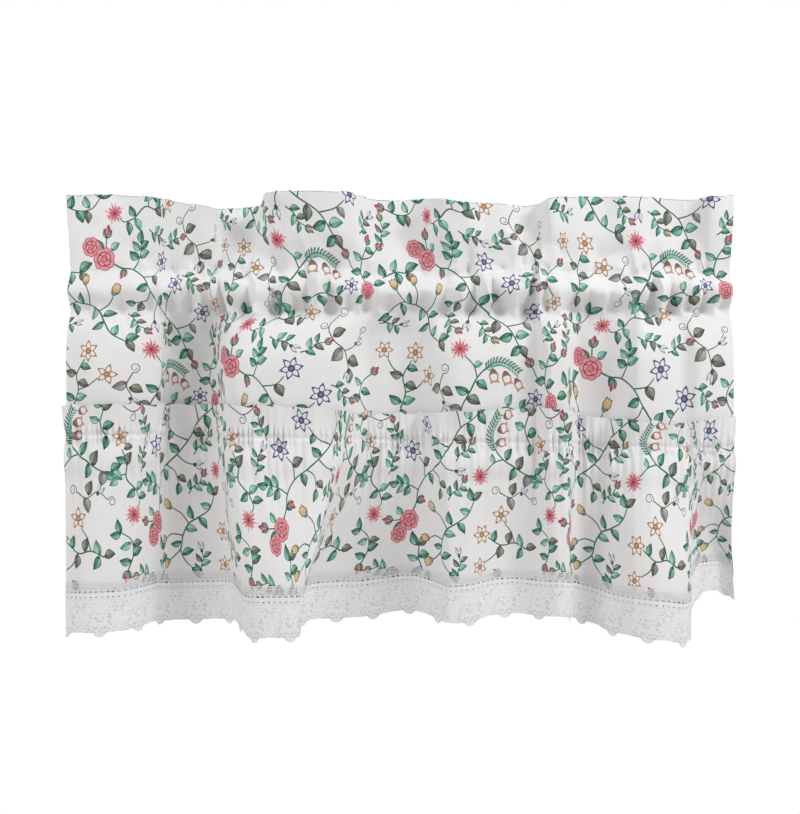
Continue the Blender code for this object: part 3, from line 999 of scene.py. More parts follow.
CURLS = (
    # across, up, angle, size, way round
    (212, 204, 60, 10, 1),
    (176, 226, 40, 12, -1),
    (168, 212, 170, 10, 1),
    (84, 4, -110, 10, 1),
    (92, 44, 70, 11, -1),
)

# Lace, all in millimetres: the heights of its rows above its lowest lobes, and its holes
LACE_LINE = (LACE_BELOW_LACE_LINE + SCALLOP_DEPTH) / MM
LACE_TOP = LACE_LINE + LACE_ABOVE_LACE_LINE / MM
LACE_REPEAT = SCALLOP_LENGTH / MM
LACE_END_MARGIN = 0.6
LADDER_HOLE = (3.9, 1.9)
LADDER_REPEATS = 7
SECOND_ROW = LACE_LINE - 5.0
SECOND_HOLE = (2.2, 0.8)
HOLE_CORNER = 0.6
NET_PITCH = 2.1
NET_HOLE = 0.27
NET_RISE = (2.0, SECOND_ROW - 1.8)
NET_ABOVE_EDGE = 2.2
NET_CLEAR_OF_MOTIF = 0.7 * NET_HOLE
HEADER_PITCH = 1.5
HEADER_HOLE = 0.60
HEADER_RISE = (LACE_LINE + 2.2, LACE_TOP - 0.7)

# Step between the rows of a net of even triangles, in pitches
ROW_STEP = np.sqrt(0.75)

# The closed eyes of the ground, painted grey as the shade in the net's holes, uneven in size and place
EYE_PITCH = 3.8
EYE_SIZE = 1.05
EYE_SIDES = 7
EYE_RISE = (5.0, SECOND_ROW - 2.4)
EYE_CLEAR_OF_MOTIF = 0.5 * EYE_SIZE
EYE_UNEVENNESS = 0.45
EYE_SHIFT = 0.6
EYE_SIZE_RATES = (1.9, 2.7)
EYE_SHIFT_RATES = (3.1, 2.3)

# The lobes of its lower edge
LOBE_SHARE = 0.84
LOBE_HALF = 6.2
LOBE_ROUNDNESS = 0.6

# Where a grid of points carries the solid cloth, and where the thread is thick and white
LACE_EDGE_STEP = 0.8
LACE_GRID_MARGIN = 0.5
LACE_GRID_BOTTOM = 1.0
LACE_GRID_STEPS = (1.9, 1.7)
GRID_MOTIF_MARGIN = -0.45
GRID_BAND = LACE_LINE - 2.5
GRID_BAND_HALF = 0.9
GRID_EDGE_BAND = (0.4, 1.4)
THICK_MOTIF_MARGIN = 0.35
THICK_HEADER = LACE_LINE - 3.4
THICK_EDGE = 1.5

# Solid parts of the lace's repeat
LACE_MOTIFS = (
    # across, up, half length, half width, angle
    (19.0, 20.0, 1.5, 1.5, 0),
    (19.0, 24.6, 3.2, 1.7, 90),
    (23.2, 21.6, 3.2, 1.7, 20),
    (21.7, 16.4, 3.2, 1.7, -52),
    (16.3, 16.4, 3.2, 1.7, -128),
    (14.8, 21.6, 3.2, 1.7, 160),
    (10.6, 13.2, 3.4, 1.2, 40),
    (27.4, 13.2, 3.4, 1.2, 140),
    (29.4, 26.4, 3.6, 1.2, 35),
    (8.6, 26.4, 3.6, 1.2, 145),
    (0.0, 27.4, 1.1, 1.1, 0),
    (0.0, 30.6, 2.2, 1.2, 90),
    (3.0, 28.6, 2.2, 1.2, 20),
    (1.9, 24.8, 2.2, 1.2, -54),
    (-1.9, 24.8, 2.2, 1.2, 234),
    (-3.0, 28.6, 2.2, 1.2, 160),
    (0.0, 16.0, 4.6, 1.3, 90),
    (4.6, 13.0, 3.4, 1.2, 35),
    (-4.6, 13.0, 3.4, 1.2, 145),
    (19.0, 32.6, 3.4, 1.0, 0),
    (19.0, 10.6, 3.0, 1.2, 0),
)


def smooth_through(knots, values, places):
    """A cubic curve through the values at the knots that never swings past them, read at the places."""
    knots = np.asarray(knots, float)
    values = np.asarray(values, float)
    places = np.asarray(places, float)
    spread = (-1,) + (1,) * (values.ndim - 1)
    steps = np.diff(knots).reshape(spread)
    rises = np.diff(values, axis=0) / steps
    product = rises[:-1] * rises[1:]
    total = np.where(product > 0, rises[:-1] + rises[1:], 1.0)
    slopes = np.zeros_like(values)
    slopes[1:-1] = np.where(product > 0, 2 * product / total, 0.0)
    slopes[0] = rises[0]
    slopes[-1] = rises[-1]
    span = np.clip(np.searchsorted(knots, places, side="right") - 1, 0, len(knots) - 2)
    width = np.diff(knots)[span].reshape(spread)
    f = (places - knots[span]).reshape(spread) / width
    start = values[span] * (1 + 2 * f) * (1 - f) ** 2 + slopes[span] * width * f * (1 - f) ** 2
    end = values[span + 1] * f**2 * (3 - 2 * f) + slopes[span + 1] * width * f**2 * (f - 1)
    return start + end


def fold_threads(folds):
    """The thread at each fold: half by its place across, half by the cloth that the folds before it take."""
    places = folds[:, :2]
    taken = np.concatenate(([0.0], np.cumsum(np.linalg.norm(np.diff(places, axis=0), axis=1))))
    across = places[:, 0] - places[0, 0]
    return HALF_WIDTH * (across / across[-1] + taken / taken[-1] - 1)


def read_folds(folds, threads):
    """The columns of a table of the panel's folds, each read at the threads."""
    return smooth_through(fold_threads(folds), folds, threads).T


def read_ruffle_folds(threads):
    """The columns of the ruffle's folds, each fold starting at its own place along the seam."""
    starts = np.interp(RUFFLE_FOLDS[:, 0], BODY_FOLDS[:, 2], fold_threads(BODY_FOLDS))
    return smooth_through(starts, RUFFLE_FOLDS[:, 1:], threads).T


def pocket_round(drops, rise=0.0):
    """How far the pocket is open at each drop, from 0 at its two ends to 1 between them."""
    upper = UPPER_STITCH - rise
    return np.sin(np.pi * np.clip((drops - upper) / (LOWER_STITCH - upper), 0, 1))


def pucker(threads, drops):
    """How far the puckers stand out of the cloth, as a table of drops by threads."""
    reach = np.exp(-(((drops - PUCKER_MIDDLE) / PUCKER_REACH) ** 2))
    push = sum(forward * np.exp(-(((threads - thread) / half) ** 2)) for thread, half, forward in PUCKERS)
    return reach[:, None] * push[None, :]


def panel_middle(threads, drops):
    """The panel's middle surface: a table of drops by threads by X, Y, Z."""
    top_x, heading, top = read_folds(HEADING_FOLDS, threads)
    body_x, body, seam_x, seam, seam_z = read_folds(BODY_FOLDS, threads)
    level = np.ones_like(threads)
    round_rod = ROD_SHARE * (heading + body) / 2
    sections = (
        # drop, across, depth, height
        (0.0, top_x, heading, top),
        (HEADING_MIDDLE, (top_x + threads) / 2, HEADING_MIDDLE_SHARE * heading, top / 2 - HEADING_MIDDLE),
        (UPPER_STITCH, threads, SHIRRED_SHARE * heading, -UPPER_STITCH * level),
        (PUCKER_MIDDLE, threads, round_rod, -PUCKER_MIDDLE * level),
        (LOWER_STITCH, threads, SHIRRED_SHARE * body, -LOWER_STITCH * level),
        (BODY_UPPER, body_x + FALLING_IN * (threads - body_x), (1 - FALLING_IN) * body, -BODY_UPPER * level),
        (BODY_MIDDLE, body_x, body, -BODY_MIDDLE * level),
        (SEAM, seam_x, seam, seam_z),
        (PANEL_BOTTOM, seam_x, seam, seam_z + SEAM - PANEL_BOTTOM),
    )
    knots = [row[0] for row in sections]
    points = smooth_through(knots, [np.stack(row[1:], axis=-1) for row in sections], drops)
    points[..., 1] -= pucker(threads, drops) * (1 - pocket_round(drops))[:, None]
    return points


def front_steps(points):
    """Level steps towards the front that keep each facet of a row of points parallel to itself."""
    edges = np.diff(points[..., :2], axis=1)
    facing = np.stack((edges[..., 1], -edges[..., 0]), axis=-1)
    facing /= np.linalg.norm(facing, axis=-1, keepdims=True)
    before = np.concatenate((facing[:, :1], facing), axis=1)
    after = np.concatenate((facing, facing[:, -1:]), axis=1)
    mitre = (before + after) / 2
    mitre /= np.maximum(np.sum(mitre**2, axis=-1, keepdims=True), SHARPEST_MITRE)
    return np.concatenate((mitre, np.zeros_like(mitre[..., :1])), axis=-1)


def crease_relief(creases, across, down):
    """How far soft ridges and troughs push the cloth forward, read at places across and down it."""
    relief = np.zeros(np.broadcast(across, down).shape)
    for x, z, end_x, end_z, half, end_half, forward in creases:
        run = np.array((end_x - x, end_z - z))
        share = np.clip(((across - x) * run[0] + (down - z) * run[1]) / (run @ run), 0, 1)
        gap = (across - x - share * run[0]) ** 2 + (down - z - share * run[1]) ** 2
        width = half + (end_half - half) * share
        relief += forward * (1 - share**2) * np.exp(-((gap / width**2) ** CREASE_SHARPNESS))
    return relief


class Cloth:
    """A hanging sheet's shape: a fine table of points, rows up the cloth and columns across it.

    Its levels are named heights up the flat cloth.
    """

    def __init__(self, points, width, height, levels):
        self.points = points
        self.width = width
        self.height = height
        self.levels = {"end": height, **levels}
        facing = np.cross(np.gradient(points, axis=1), np.gradient(points, axis=0))
        self.normals = facing / np.linalg.norm(facing, axis=-1, keepdims=True)

    def read(self, table, flat):
        """The table's values at flat places, between its nearest four."""
        rows, columns = table.shape[:2]
        across = np.clip(flat[:, 0] / self.width, 0, 1) * (columns - 1)
        up = np.clip(flat[:, 1] / self.height, 0, 1) * (rows - 1)
        left = np.minimum(across.astype(int), columns - 2)
        low = np.minimum(up.astype(int), rows - 2)
        a = (across - left)[:, None]
        b = (up - low)[:, None]
        below = table[low, left] * (1 - a) + table[low, left + 1] * a
        above = table[low + 1, left] * (1 - a) + table[low + 1, left + 1] * a
        return below * (1 - b) + above * b

    def place(self, flat, lift=0.0):
        """Points and normals at flat places, lifted off the cloth towards its right side."""
        normals = self.read(self.normals, flat)
        normals /= np.linalg.norm(normals, axis=1, keepdims=True)
        return self.read(self.points, flat) + normals * lift, normals


def even_threads(middle, levels, fullness):
    """Threads at even steps of a flat sheet wide enough for every fold at the levels, and its flat width."""
    fine = np.linspace(-HALF_WIDTH, HALF_WIDTH, THREAD_SAMPLES)
    steps = np.linalg.norm(np.diff(middle(fine, np.array(levels)), axis=1), axis=-1)
    widest = np.max(steps * np.array(fullness)[:, None], axis=0)
    spread = np.ones(LEVELLING) / LEVELLING
    even = np.convolve(np.pad(widest, LEVELLING // 2, mode="edge"), spread, mode="valid")
    travelled = np.concatenate(([0.0], np.cumsum(even)))
    width = travelled[-1]
    count = round(width / TABLE_ACROSS) + 1
    return np.interp(np.linspace(0, width, count), travelled, fine), width


def even_rows(points):
    """A table's rows put at even steps up the cloth, and how far up it each of its old rows was."""
    steps = np.linalg.norm(np.diff(points, axis=0), axis=-1).mean(axis=1)
    travelled = np.concatenate(([0.0], np.cumsum(steps)))
    places = np.linspace(0, travelled[-1], round(travelled[-1] / TABLE_DOWN) + 1)
    low = np.clip(np.searchsorted(travelled, places, side="right") - 1, 0, len(travelled) - 2)
    share = ((places - travelled[low]) / (travelled[low + 1] - travelled[low]))[:, None, None]
    return points[low] * (1 - share) + points[low + 1] * share, travelled


def panel_cloth():
    """The panel, up its front from the bottom edge, over the top fold and down behind the pocket."""
    threads, width = even_threads(panel_middle, (0.0, BODY_MIDDLE, SEAM), (1.0, 1.0, 1.0))
    top_fold = TOP_FOLD_RADIUS * np.linspace(0, 1, TOP_FOLD_ROWS) ** 2
    front = np.concatenate((np.arange(PANEL_BOTTOM, TOP_FOLD_RADIUS, -TABLE_DOWN), top_fold[::-1]))
    back = np.concatenate((top_fold[1:], np.arange(BACK_START, POCKET_HEM, TABLE_DOWN)))
    edge = np.interp(threads, *POCKET_EDGE.T)
    layers = []
    for drops, swell, rise, pucker_share, side in (
        # the front layer, then the back one
        (front, POCKET_FRONT_SWELL, edge, 1.0, 1),
        (back, POCKET_BACK_SWELL, np.zeros_like(edge), BACK_PUCKER_SHARE, -1),
    ):
        heading = np.clip(drops / UPPER_STITCH, 0, 1)
        hanging = np.clip((drops - POCKET_HEM) / (BODY_MIDDLE - POCKET_HEM), 0, 1)
        turn = np.sqrt(1 - (1 - np.clip(drops / TOP_FOLD_RADIUS, 0, 1)) ** 2)
        sewn = SEWN_OFFSET + (TOP_FOLD_RADIUS - SEWN_OFFSET) * (1 - heading)
        swollen = swell * pocket_round(drops[:, None], rise) ** POCKET_SOFTNESS
        standing = sewn + HEADING_SWELL * np.sin(np.pi * heading)
        offset = (standing[:, None] + swollen) * ((1 - hanging) * turn)[:, None]
        offset = offset + pucker_share * pucker(threads, drops) * pocket_round(drops)[:, None]
        relief = PANEL_CREASE_DEPTH * crease_relief(PANEL_CREASES, threads[None, :], drops[:, None])
        offset = offset + (relief if side > 0 else -relief * (1 - pocket_round(drops))[:, None])
        middle = panel_middle(threads, drops)
        layers.append(middle + side * front_steps(middle) * offset[..., None])
    points, travelled = even_rows(np.concatenate(layers))
    levels = {
        name: np.interp(-drop, -front, travelled[: len(front)])
        for name, drop in (("upper stitching", UPPER_STITCH), ("lower stitching", LOWER_STITCH))
    }
    return Cloth(points, width, travelled[-1], levels)


def hanging_share(falls):
    """How much of a ruffle fold's sideways lean and of its depth is reached, by the share of its fall."""
    inside = np.clip(falls, 0, 1)
    past = np.clip(falls - 1, 0, None)
    return inside**LEAN_POWER + past / 2, inside**2 * (3 - 2 * inside)


def ruffle_middle(threads, falls):
    """The ruffle's middle surface below its seam, falls being shares of the way down to the lace line."""
    across, depth, lace_z = read_ruffle_folds(threads)
    seam = panel_middle(threads, np.array([SEAM]))
    start = (seam + front_steps(seam) * (CLOTH_THICKNESS + SEWN_GAP))[0]
    lean, deepen = (share[:, None] for share in hanging_share(falls))
    swell = GATHER_SWELL * np.sin(np.pi * np.clip(falls / GATHER_SWELL_END, 0, 1)) ** 2
    x = start[:, 0] + (across - start[:, 0]) * lean
    y = start[:, 1] + (depth - start[:, 1]) * deepen - swell[:, None]
    z = start[:, 2] + (lace_z - start[:, 2]) * falls[:, None]
    return np.stack((x, y, z), axis=-1)


def waves(threads, rows, base=0.0):
    """A sum of waves along the threads, each of a size, a rate and a start."""
    return sum((size * np.sin(rate * threads + start) for size, rate, start in rows), base)


def drifting_wave(threads, length, drift):
    """A wave along the threads whose length drifts about the given one."""
    return np.sin(2 * np.pi * threads / length + waves(threads, drift))


def gather_wave(threads):
    """Uneven fine gathers along the ruffle's seam, from 0 between them to 1 on their ridges."""
    height = waves(threads, GATHER_HEIGHT, GATHER_HEIGHT_MIDDLE)
    return height * (0.5 + 0.5 * drifting_wave(threads, GATHER_PITCH, GATHER_DRIFT))


def dimples(threads, away):
    """Small tight gathers beside the ruffle's seam, fading with the way from it."""
    depth = np.clip(waves(threads, DIMPLE_STRENGTH, DIMPLE_STRENGTH_MIDDLE), 0, 1)
    wave = drifting_wave(threads, DIMPLE_PITCH, DIMPLE_DRIFT)
    reach = np.exp(-((away / DIMPLE_REACH) ** 2)) * np.clip(away / GATHER_START, GATHER_PINCH, 1)
    return DIMPLE_DEPTH * (depth * wave)[None, :] * reach[:, None]


def hanging_ruffle(threads, falls):
    """The ruffle below its seam, with its gathers and creases."""
    hanging = ruffle_middle(threads, falls)
    fade = GATHER_FADE * waves(threads, GATHER_FADE_WAVES, GATHER_FADE_MIDDLE)
    relief = GATHER_DEPTH * gather_wave(threads) * np.exp(-falls[:, None] / fade)
    relief *= np.clip(falls * FALL / GATHER_START, GATHER_PINCH, 1)[:, None]
    relief += dimples(threads, np.abs(falls) * FALL)
    seam_x = read_folds(BODY_FOLDS, threads)[2]
    relief += crease_relief(RUFFLE_CREASES, seam_x[None, :], falls[:, None])
    return hanging + front_steps(hanging) * relief[..., None]


def lace_cloth():
    """The strip that the lace lies on, up from its lowest lobes, as long flat as the ruffle's hem."""
    threads, width = even_threads(ruffle_middle, (1 + RUFFLE_BELOW_LACE_LINE / FALL,), (1.0,))
    low = 1 + (LACE_BELOW_LACE_LINE + SCALLOP_DEPTH) / FALL
    high = 1 - (LACE_ABOVE_LACE_LINE + 2 * TABLE_DOWN) / FALL
    falls = np.arange(low, high, -TABLE_DOWN / FALL)
    points, travelled = even_rows(hanging_ruffle(threads, falls))
    return Cloth(points, width, travelled[-1], {"lace line": np.interp(-1.0, -falls, travelled)})


def ruffle_cloth():
    """The ruffle, up from below the lace's scallops to the top of its frill."""
    threads, width = even_threads(ruffle_middle, (0.0, 1.0), (GATHERED_FULLNESS, 1.0))
    falls = np.arange(1 + RUFFLE_BELOW_LACE_LINE / FALL, 0, -TABLE_DOWN / FALL)
    hanging = hanging_ruffle(threads, falls)
    wave = gather_wave(threads)

    heights = np.arange(0, FRILL_HEIGHT, TABLE_DOWN)
    share = (heights / FRILL_HEIGHT)[:, None]
    billow = drifting_wave(threads, FRILL_WAVE_LENGTH, FRILL_DRIFT)
    reach = CLOTH_THICKNESS + SEWN_GAP + FRILL_LEAN * share + FRILL_WAVE * billow * share
    pinch = np.clip(heights / GATHER_START, GATHER_PINCH, 1)[:, None]
    gathers = FRILL_GATHER_DEPTH * wave * pinch * np.exp(-share / FRILL_GATHER_FADE)
    reach = reach + gathers + dimples(threads, heights)
    panel = panel_middle(threads, SEAM - heights)
    frill = panel + front_steps(panel) * reach[..., None]
    ripple = drifting_wave(threads, FRILL_EDGE_WAVE_LENGTH, FRILL_EDGE_DRIFT)
    ripple = ripple + waves(threads, FRILL_EDGE_RIPPLE)
    rise = smooth_through(*FRILL_EDGE.T, read_folds(BODY_FOLDS, threads)[2])
    frill[..., 2] += share * (FRILL_EDGE_WAVE * ripple + rise)
    points, travelled = even_rows(np.concatenate((hanging, frill)))
    return Cloth(points, width, travelled[-1], {"seam": travelled[len(falls)]})


def turned(points, angle):
    """Points turned anticlockwise about the origin, by degrees."""
    a = np.radians(angle)
    return np.asarray(points, float) @ np.array(((np.cos(a), np.sin(a)), (-np.sin(a), np.cos(a))))


def both_sides(side, *tips):
    """An outline from one side's points, its first and last tips, and the mirrored side."""
    side = np.asarray(side, float)
    return np.vstack((tips[:1], side, tips[1:], (side * (1, -1))[::-1]))


def smooth_path(points, step=STEM_STEP):
    """Points every step along a smooth curve through the given ones."""
    points = np.asarray(points, float)
    padded = np.vstack((2 * points[0] - points[1], points, 2 * points[-1] - points[-2]))
    path = []
    for p0, p1, p2, p3 in zip(padded, padded[1:], padded[2:], padded[3:]):
        pieces = max(1, round(float(np.linalg.norm(p2 - p1)) / step))
        for t in np.arange(pieces) / pieces:
            straight = 2 * p1 + (p2 - p0) * t
            bend = (2 * p0 - 5 * p1 + 4 * p2 - p3) * t**2
            swerve = (3 * p1 - p0 - 3 * p2 + p3) * t**3
            path.append((straight + bend + swerve) / 2)
    return np.array(path + [points[-1]])


class Chart:
    """The print's shapes, in the order in which they are laid on.

    Each runs from its colour at its first point to its far colour at the point half way round it.
    """

    def __init__(self):
        self.shapes = []

    def add(self, points, colour, far_colour=None):
        self.shapes.append((np.asarray(points, float), colour, far_colour or colour))

    def stroke(self, points, width, colour, end_width, step=STEM_STEP):
        """A line along a smooth curve, from one width to another. Returns the curve's points."""
        path = smooth_path(points, step)
        heading = np.gradient(path, axis=0)
        heading /= np.linalg.norm(heading, axis=1, keepdims=True)
        side = np.stack((-heading[:, 1], heading[:, 0]), axis=1)
        half = np.linspace(width, end_width, len(path))[:, None] / 2
        self.add(np.vstack((path + side * half, (path - side * half)[::-1])), colour)
        return path

    def leaf(self, at, angle, length, width, tone, bend=0.12):
        """A pointed leaf with a dark edge and rib, one half lighter than the other."""
        dark, middle, light = TONES[tone]
        t = np.linspace(0, 1, LEAF_STEPS)
        spine = np.stack((length * t, bend * length * np.sin(np.pi * t)), axis=1)
        half = np.stack((np.zeros(LEAF_STEPS), width / 2 * np.sin(np.pi * t**LEAF_TAPER)), axis=1)
        outline = np.vstack((spine + half, (spine - half)[-2:0:-1]))
        upper = np.vstack((spine[1:-1], (spine + LEAF_LIGHT_HALF * half)[-2:0:-1]))
        lower = np.vstack((spine[2:-1], (spine - LEAF_DARK_HALF * half)[-2:0:-1]))
        for points, near, far in ((outline, dark, dark), (upper, light, middle), (lower, middle, dark)):
            self.add(turned(points, angle) + at, near, far)

    def disc(self, at, radius, colour, far_colour, count, squash=1.0, angle=0.0):
        """A disc with a count of corners, squashed or stretched across its angle."""
        a = np.arange(count) * 2 * np.pi / count
        ring = np.stack((radius * np.cos(a), squash * radius * np.sin(a)), axis=1)
        self.add(turned(ring, angle) + at, colour, far_colour)

    def petal_ring(self, at, reach, size, count, angle, near, far, edge):
        """Round petals about a place, each a little darker along its edge."""
        for k in range(count):
            turn = angle + 360 * k / count
            way = turned((1.0, 0.0), turn)
            inner = at + way * (reach - PETAL_SHIFT * size)
            self.disc(at + way * reach, size, edge, None, PETAL_CORNERS, PETAL_STRETCH, turn)
            self.disc(inner, size * PETAL_FILL, near, far, PETAL_CORNERS, PETAL_STRETCH, turn)

    def rose(self, at, size, angle):
        """A full rose, its rings of petals closing towards its heart, each after the first on a disc."""
        at = np.asarray(at, float)
        for k, (reach, petal, count, turn, edge) in enumerate(ROSE_RINGS):
            if k > 0:
                radius, colour, far_colour, corners = ROSE_DISCS[k - 1]
                self.disc(at, size * radius, colour, far_colour, corners)
            self.petal_ring(at, size * reach, size * petal, count, angle + turn, ROSE_LIGHT, ROSE, edge)

    def star(self, at, size, petals, angle, colour):
        """An outlined flower of pointed petals with a pale fill."""
        at = np.asarray(at, float)
        line, fill, heart = (BLUE, BLUE_PALE, ORANGE) if colour == "blue" else (ORANGE, CREAM, OCHRE)
        t = np.linspace(0, 1, STAR_STEPS)
        half = np.sin(np.pi * t**STAR_TAPER) * size * STAR_HALF_WIDTH
        inner_t = STAR_FILL_START + t[1:-1] * STAR_FILL_LENGTH
        inner = np.maximum(half[1:-1] - size * STAR_LINE, size * STAR_LEAST_FILL)
        for edge, run, ink in ((half, t, line), (inner, inner_t, fill)):
            for k in range(petals):
                side = np.stack((run * size / 2, edge), axis=1)
                petal = np.vstack((side, (side * (1, -1))[::-1]))
                self.add(turned(petal, angle + 360 * k / petals) + at, ink)
        for (radius, corners), ink in zip(STAR_DISCS, (line, heart)):
            self.disc(at, size * radius, ink, None, corners)

    def tulip(self, at, angle, length):
        """A plump ochre bud with a pointed lip and two small leaves."""
        at = np.asarray(at, float)
        cup = both_sides(*TULIP_OUTLINE)
        self.add(turned(cup * length, angle) + at, OCHRE_DARK)
        fill = (cup - TULIP_MIDDLE) * TULIP_FILL + TULIP_MIDDLE
        self.add(turned(fill * length, angle) + at, OCHRE, OCHRE_LIGHT)
        start = at - turned((length * TULIP_LEAF_BACK, 0), angle)
        for way in (TULIP_LEAF_ANGLE, -TULIP_LEAF_ANGLE):
            self.leaf(start, angle + way, length * TULIP_LEAF_LENGTH, length * TULIP_LEAF_WIDTH, "green")

    def bell(self, at, angle, length):
        """A hanging bell: a dark cap and lip about a pale hollow."""
        self.add(turned(both_sides(*BELL_OUTLINE) * length, angle) + at, BROWN, BLUSH)
        self.add(turned(both_sides(*BELL_HOLLOW) * length, angle) + at, CREAM)

    def bud(self, at, angle, length, tone):
        """A closed bud: a blue one of two petals, or one of another tone between two small leaves."""
        leaves = BLUE_BUD if tone == "blue" else PLAIN_BUD
        for turn, long, wide, leaf_tone, bend in leaves:
            self.leaf(at, angle + turn, length * long, length * wide, leaf_tone or tone, bend)
        if tone == "blue":
            self.disc(at, length * BLUE_BUD_CAP, TONES["olive"][0], None, 6)

    def sprig(self, at, angle, way, tone):
        """A short curved stem with four leaves and a bud at its tip."""
        place = np.array((1.0, way))
        points = turned(np.array(SPRIG_STEM) * place, angle) + at
        self.stroke(points, SPRIG_STEM_WIDTH, STEM, SPRIG_TIP_WIDTH)
        for x, y, turn, length, green in SPRIG_LEAVES:
            start = turned(np.array((x, y)) * place, angle) + at
            self.leaf(start, angle + turn * way, length, length * SPRIG_LEAF_WIDTH, green)
        self.bud(points[-1], angle + SPRIG_BUD_TURN * way, SPRIG_BUD_LENGTH, tone)

    def tuft(self, at, size, angle):
        """A soft flower whose many narrow petals darken towards its heart."""
        at = np.asarray(at, float)
        for start, count, reach, broad, colour in TUFT_RINGS:
            for k in range(count):
                length = size * reach * (1 + TUFT_UNEVENNESS * np.cos(TUFT_RATE * k))
                side = np.array(TUFT_PETAL_SIDE) * (length, size * broad)
                petal = both_sides(side, (0.0, 0.0), (length, 0.0))
                self.add(turned(petal, angle + 360 * (k + start) / count) + at, colour)
        self.disc(at, size * TUFT_HEART, ROSE_DARK, None, 7)

    def feather(self, points, width):
        """A stem with a small leaf to either side at each step."""
        path = self.stroke(points, FEATHER_STEM_WIDTH, STEM, FEATHER_TIP_WIDTH)
        for before, at, after in zip(path, path[1:], path[2:]):
            way = np.degrees(np.arctan2(*(after - before)[::-1]))
            for turn, long, wide, tone, bend in FEATHER_LEAVES:
                self.leaf(at, way + turn, width * long, width * wide, tone, bend)

    def curl(self, at, angle, size, way):
        """A tendril's end, wound in for a turn and a third."""
        a = np.linspace(0, 2 * np.pi * CURL_TURNS, CURL_POINTS)
        r = size / 2 * (1 - CURL_CLOSING * a / a[-1])
        spiral = np.stack((size / 2 - r * np.cos(a), way * r * np.sin(a)), axis=1)
        self.stroke(turned(spiral, angle) + at, CURL_WIDTH, TENDRIL, CURL_TIP_WIDTH, CURL_STEP)


def chart_print():
    """One repeat of the print."""
    chart = Chart()
    for width, *points in STEMS:
        chart.stroke(points, width, STEM, width * STEM_TAPER)
    for width, *points in TENDRILS:
        chart.stroke(points, width, TENDRIL, width * TENDRIL_TAPER)
    for x, y, angle, size, way in CURLS:
        chart.curl((x, y), angle, size, way)
    for width, *points in FEATHERS:
        chart.feather(points, width)
    for x, y, angle, length, width, tone in LEAVES:
        chart.leaf((x, y), angle, LEAF_LONGER * length, LEAF_BROADER * width, tone)
    for x, y, angle, way, tone in SPRIGS:
        chart.sprig((x, y), angle, way, tone)
    for x, y, angle, length, tone in BUDS:
        chart.bud((x, y), angle, length, tone)
    for x, y, angle, length in TULIPS:
        chart.tulip((x, y), angle, length)
    for x, y, angle, length in BELLS:
        chart.bell((x, y), angle, length)
    for x, y, size, angle in TUFTS:
        chart.tuft((x, y), size, angle)
    for x, y, size, petals, angle, colour in STARS:
        chart.star((x, y), size, petals, angle, colour)
    for x, y, size, angle in ROSES:
        chart.rose((x, y), size, angle)
    return chart.shapes


def print_shapes(low, high, turn, shift):
    """The print between two corners of a flat cloth, turned by degrees and shifted by millimetres."""
    shapes = chart_print()
    size = (np.array(high) - low) / MM
    reach = int(np.ceil(size.max() / REPEAT_ACROSS)) + 2
    laid = []
    for column in range(-reach, reach + 1):
        for row in range(-reach, reach + 1):
            step = (column * REPEAT_ACROSS, row * REPEAT_UP + (column % 2) * REPEAT_UP / 2)
            for points, colour, far_colour in shapes:
                place = turned(points + step, turn) + shift
                if (place.max(axis=0) > 0).all() and (place.min(axis=0) < size).all():
                    laid.append((place * MM + low, colour, far_colour))
    return laid


def flat_grid(low, high, step_across, step_up):
    """Flat places between two corners, at even steps as near as can be to those given."""
    columns = round((high[0] - low[0]) / step_across) + 1
    rows = round((high[1] - low[1]) / step_up) + 1
    across, up = np.meshgrid(np.linspace(low[0], high[0], columns), np.linspace(low[1], high[1], rows))
    return np.stack((across.ravel(), up.ravel()), axis=1)


def banded_grid(cloth, bands):
    """Flat places in bands up a cloth, each band with steps of its own."""
    grids = []
    start = 0.0
    for level, past, across, up in bands:
        end = cloth.levels[level] + past
        grids.append(flat_grid((0.0, start), (cloth.width, end - up), across, up))
        start = end
    grids.append(flat_grid((0.0, start), (cloth.width, start), across, up))
    return np.concatenate(grids)


def anticlockwise(outline):
    """The outline with its points in the order that keeps its inside on the left."""
    following = np.roll(outline, -1, axis=0)
    area = np.sum(outline[:, 0] * following[:, 1] - outline[:, 1] * following[:, 0])
    return outline if area > 0 else outline[::-1]


def cut_cloth(edge, grid, outlines):
    """Triangles inside a flat cloth's edge that follow the outlines too, and the last outline over each."""
    places = [grid]
    faces = []
    count = len(grid)
    for outline in [edge] + outlines:
        outline = anticlockwise(outline)
        places.append(outline)
        faces.append(list(range(count, count + len(outline))))
        count += len(outline)
    points = [Vector(place) for place in np.concatenate(places)]
    flat, _, triangles, _, _, sources = delaunay_2d_cdt(points, [], faces, 0, SAME_PLACE)
    kept = [(t, max(s) - 1) for t, s in zip(triangles, sources) if 0 in s and len(t) == 3]
    return np.array(flat), np.array([t for t, _ in kept]), np.array([s for _, s in kept])


def compact(flat, triangles):
    """Only the places that triangles use."""
    used, triangles = np.unique(triangles, return_inverse=True)
    return flat[used], triangles.reshape(-1, 3)


def add_object(name, data):
    """A new object in the scene."""
    thing = bpy.data.objects.new(name, data)
    bpy.context.scene.collection.objects.link(thing)
    return thing


def colour_corners(piece, colours):
    """Give each corner of each triangle a colour of its own."""
    rgba = np.concatenate((colours, np.ones_like(colours[..., :1])), axis=-1)
    ink = piece.data.color_attributes.new(INK, "FLOAT_COLOR", "CORNER")
    ink.data.foreach_set("color", rgba.astype(np.float32).ravel())


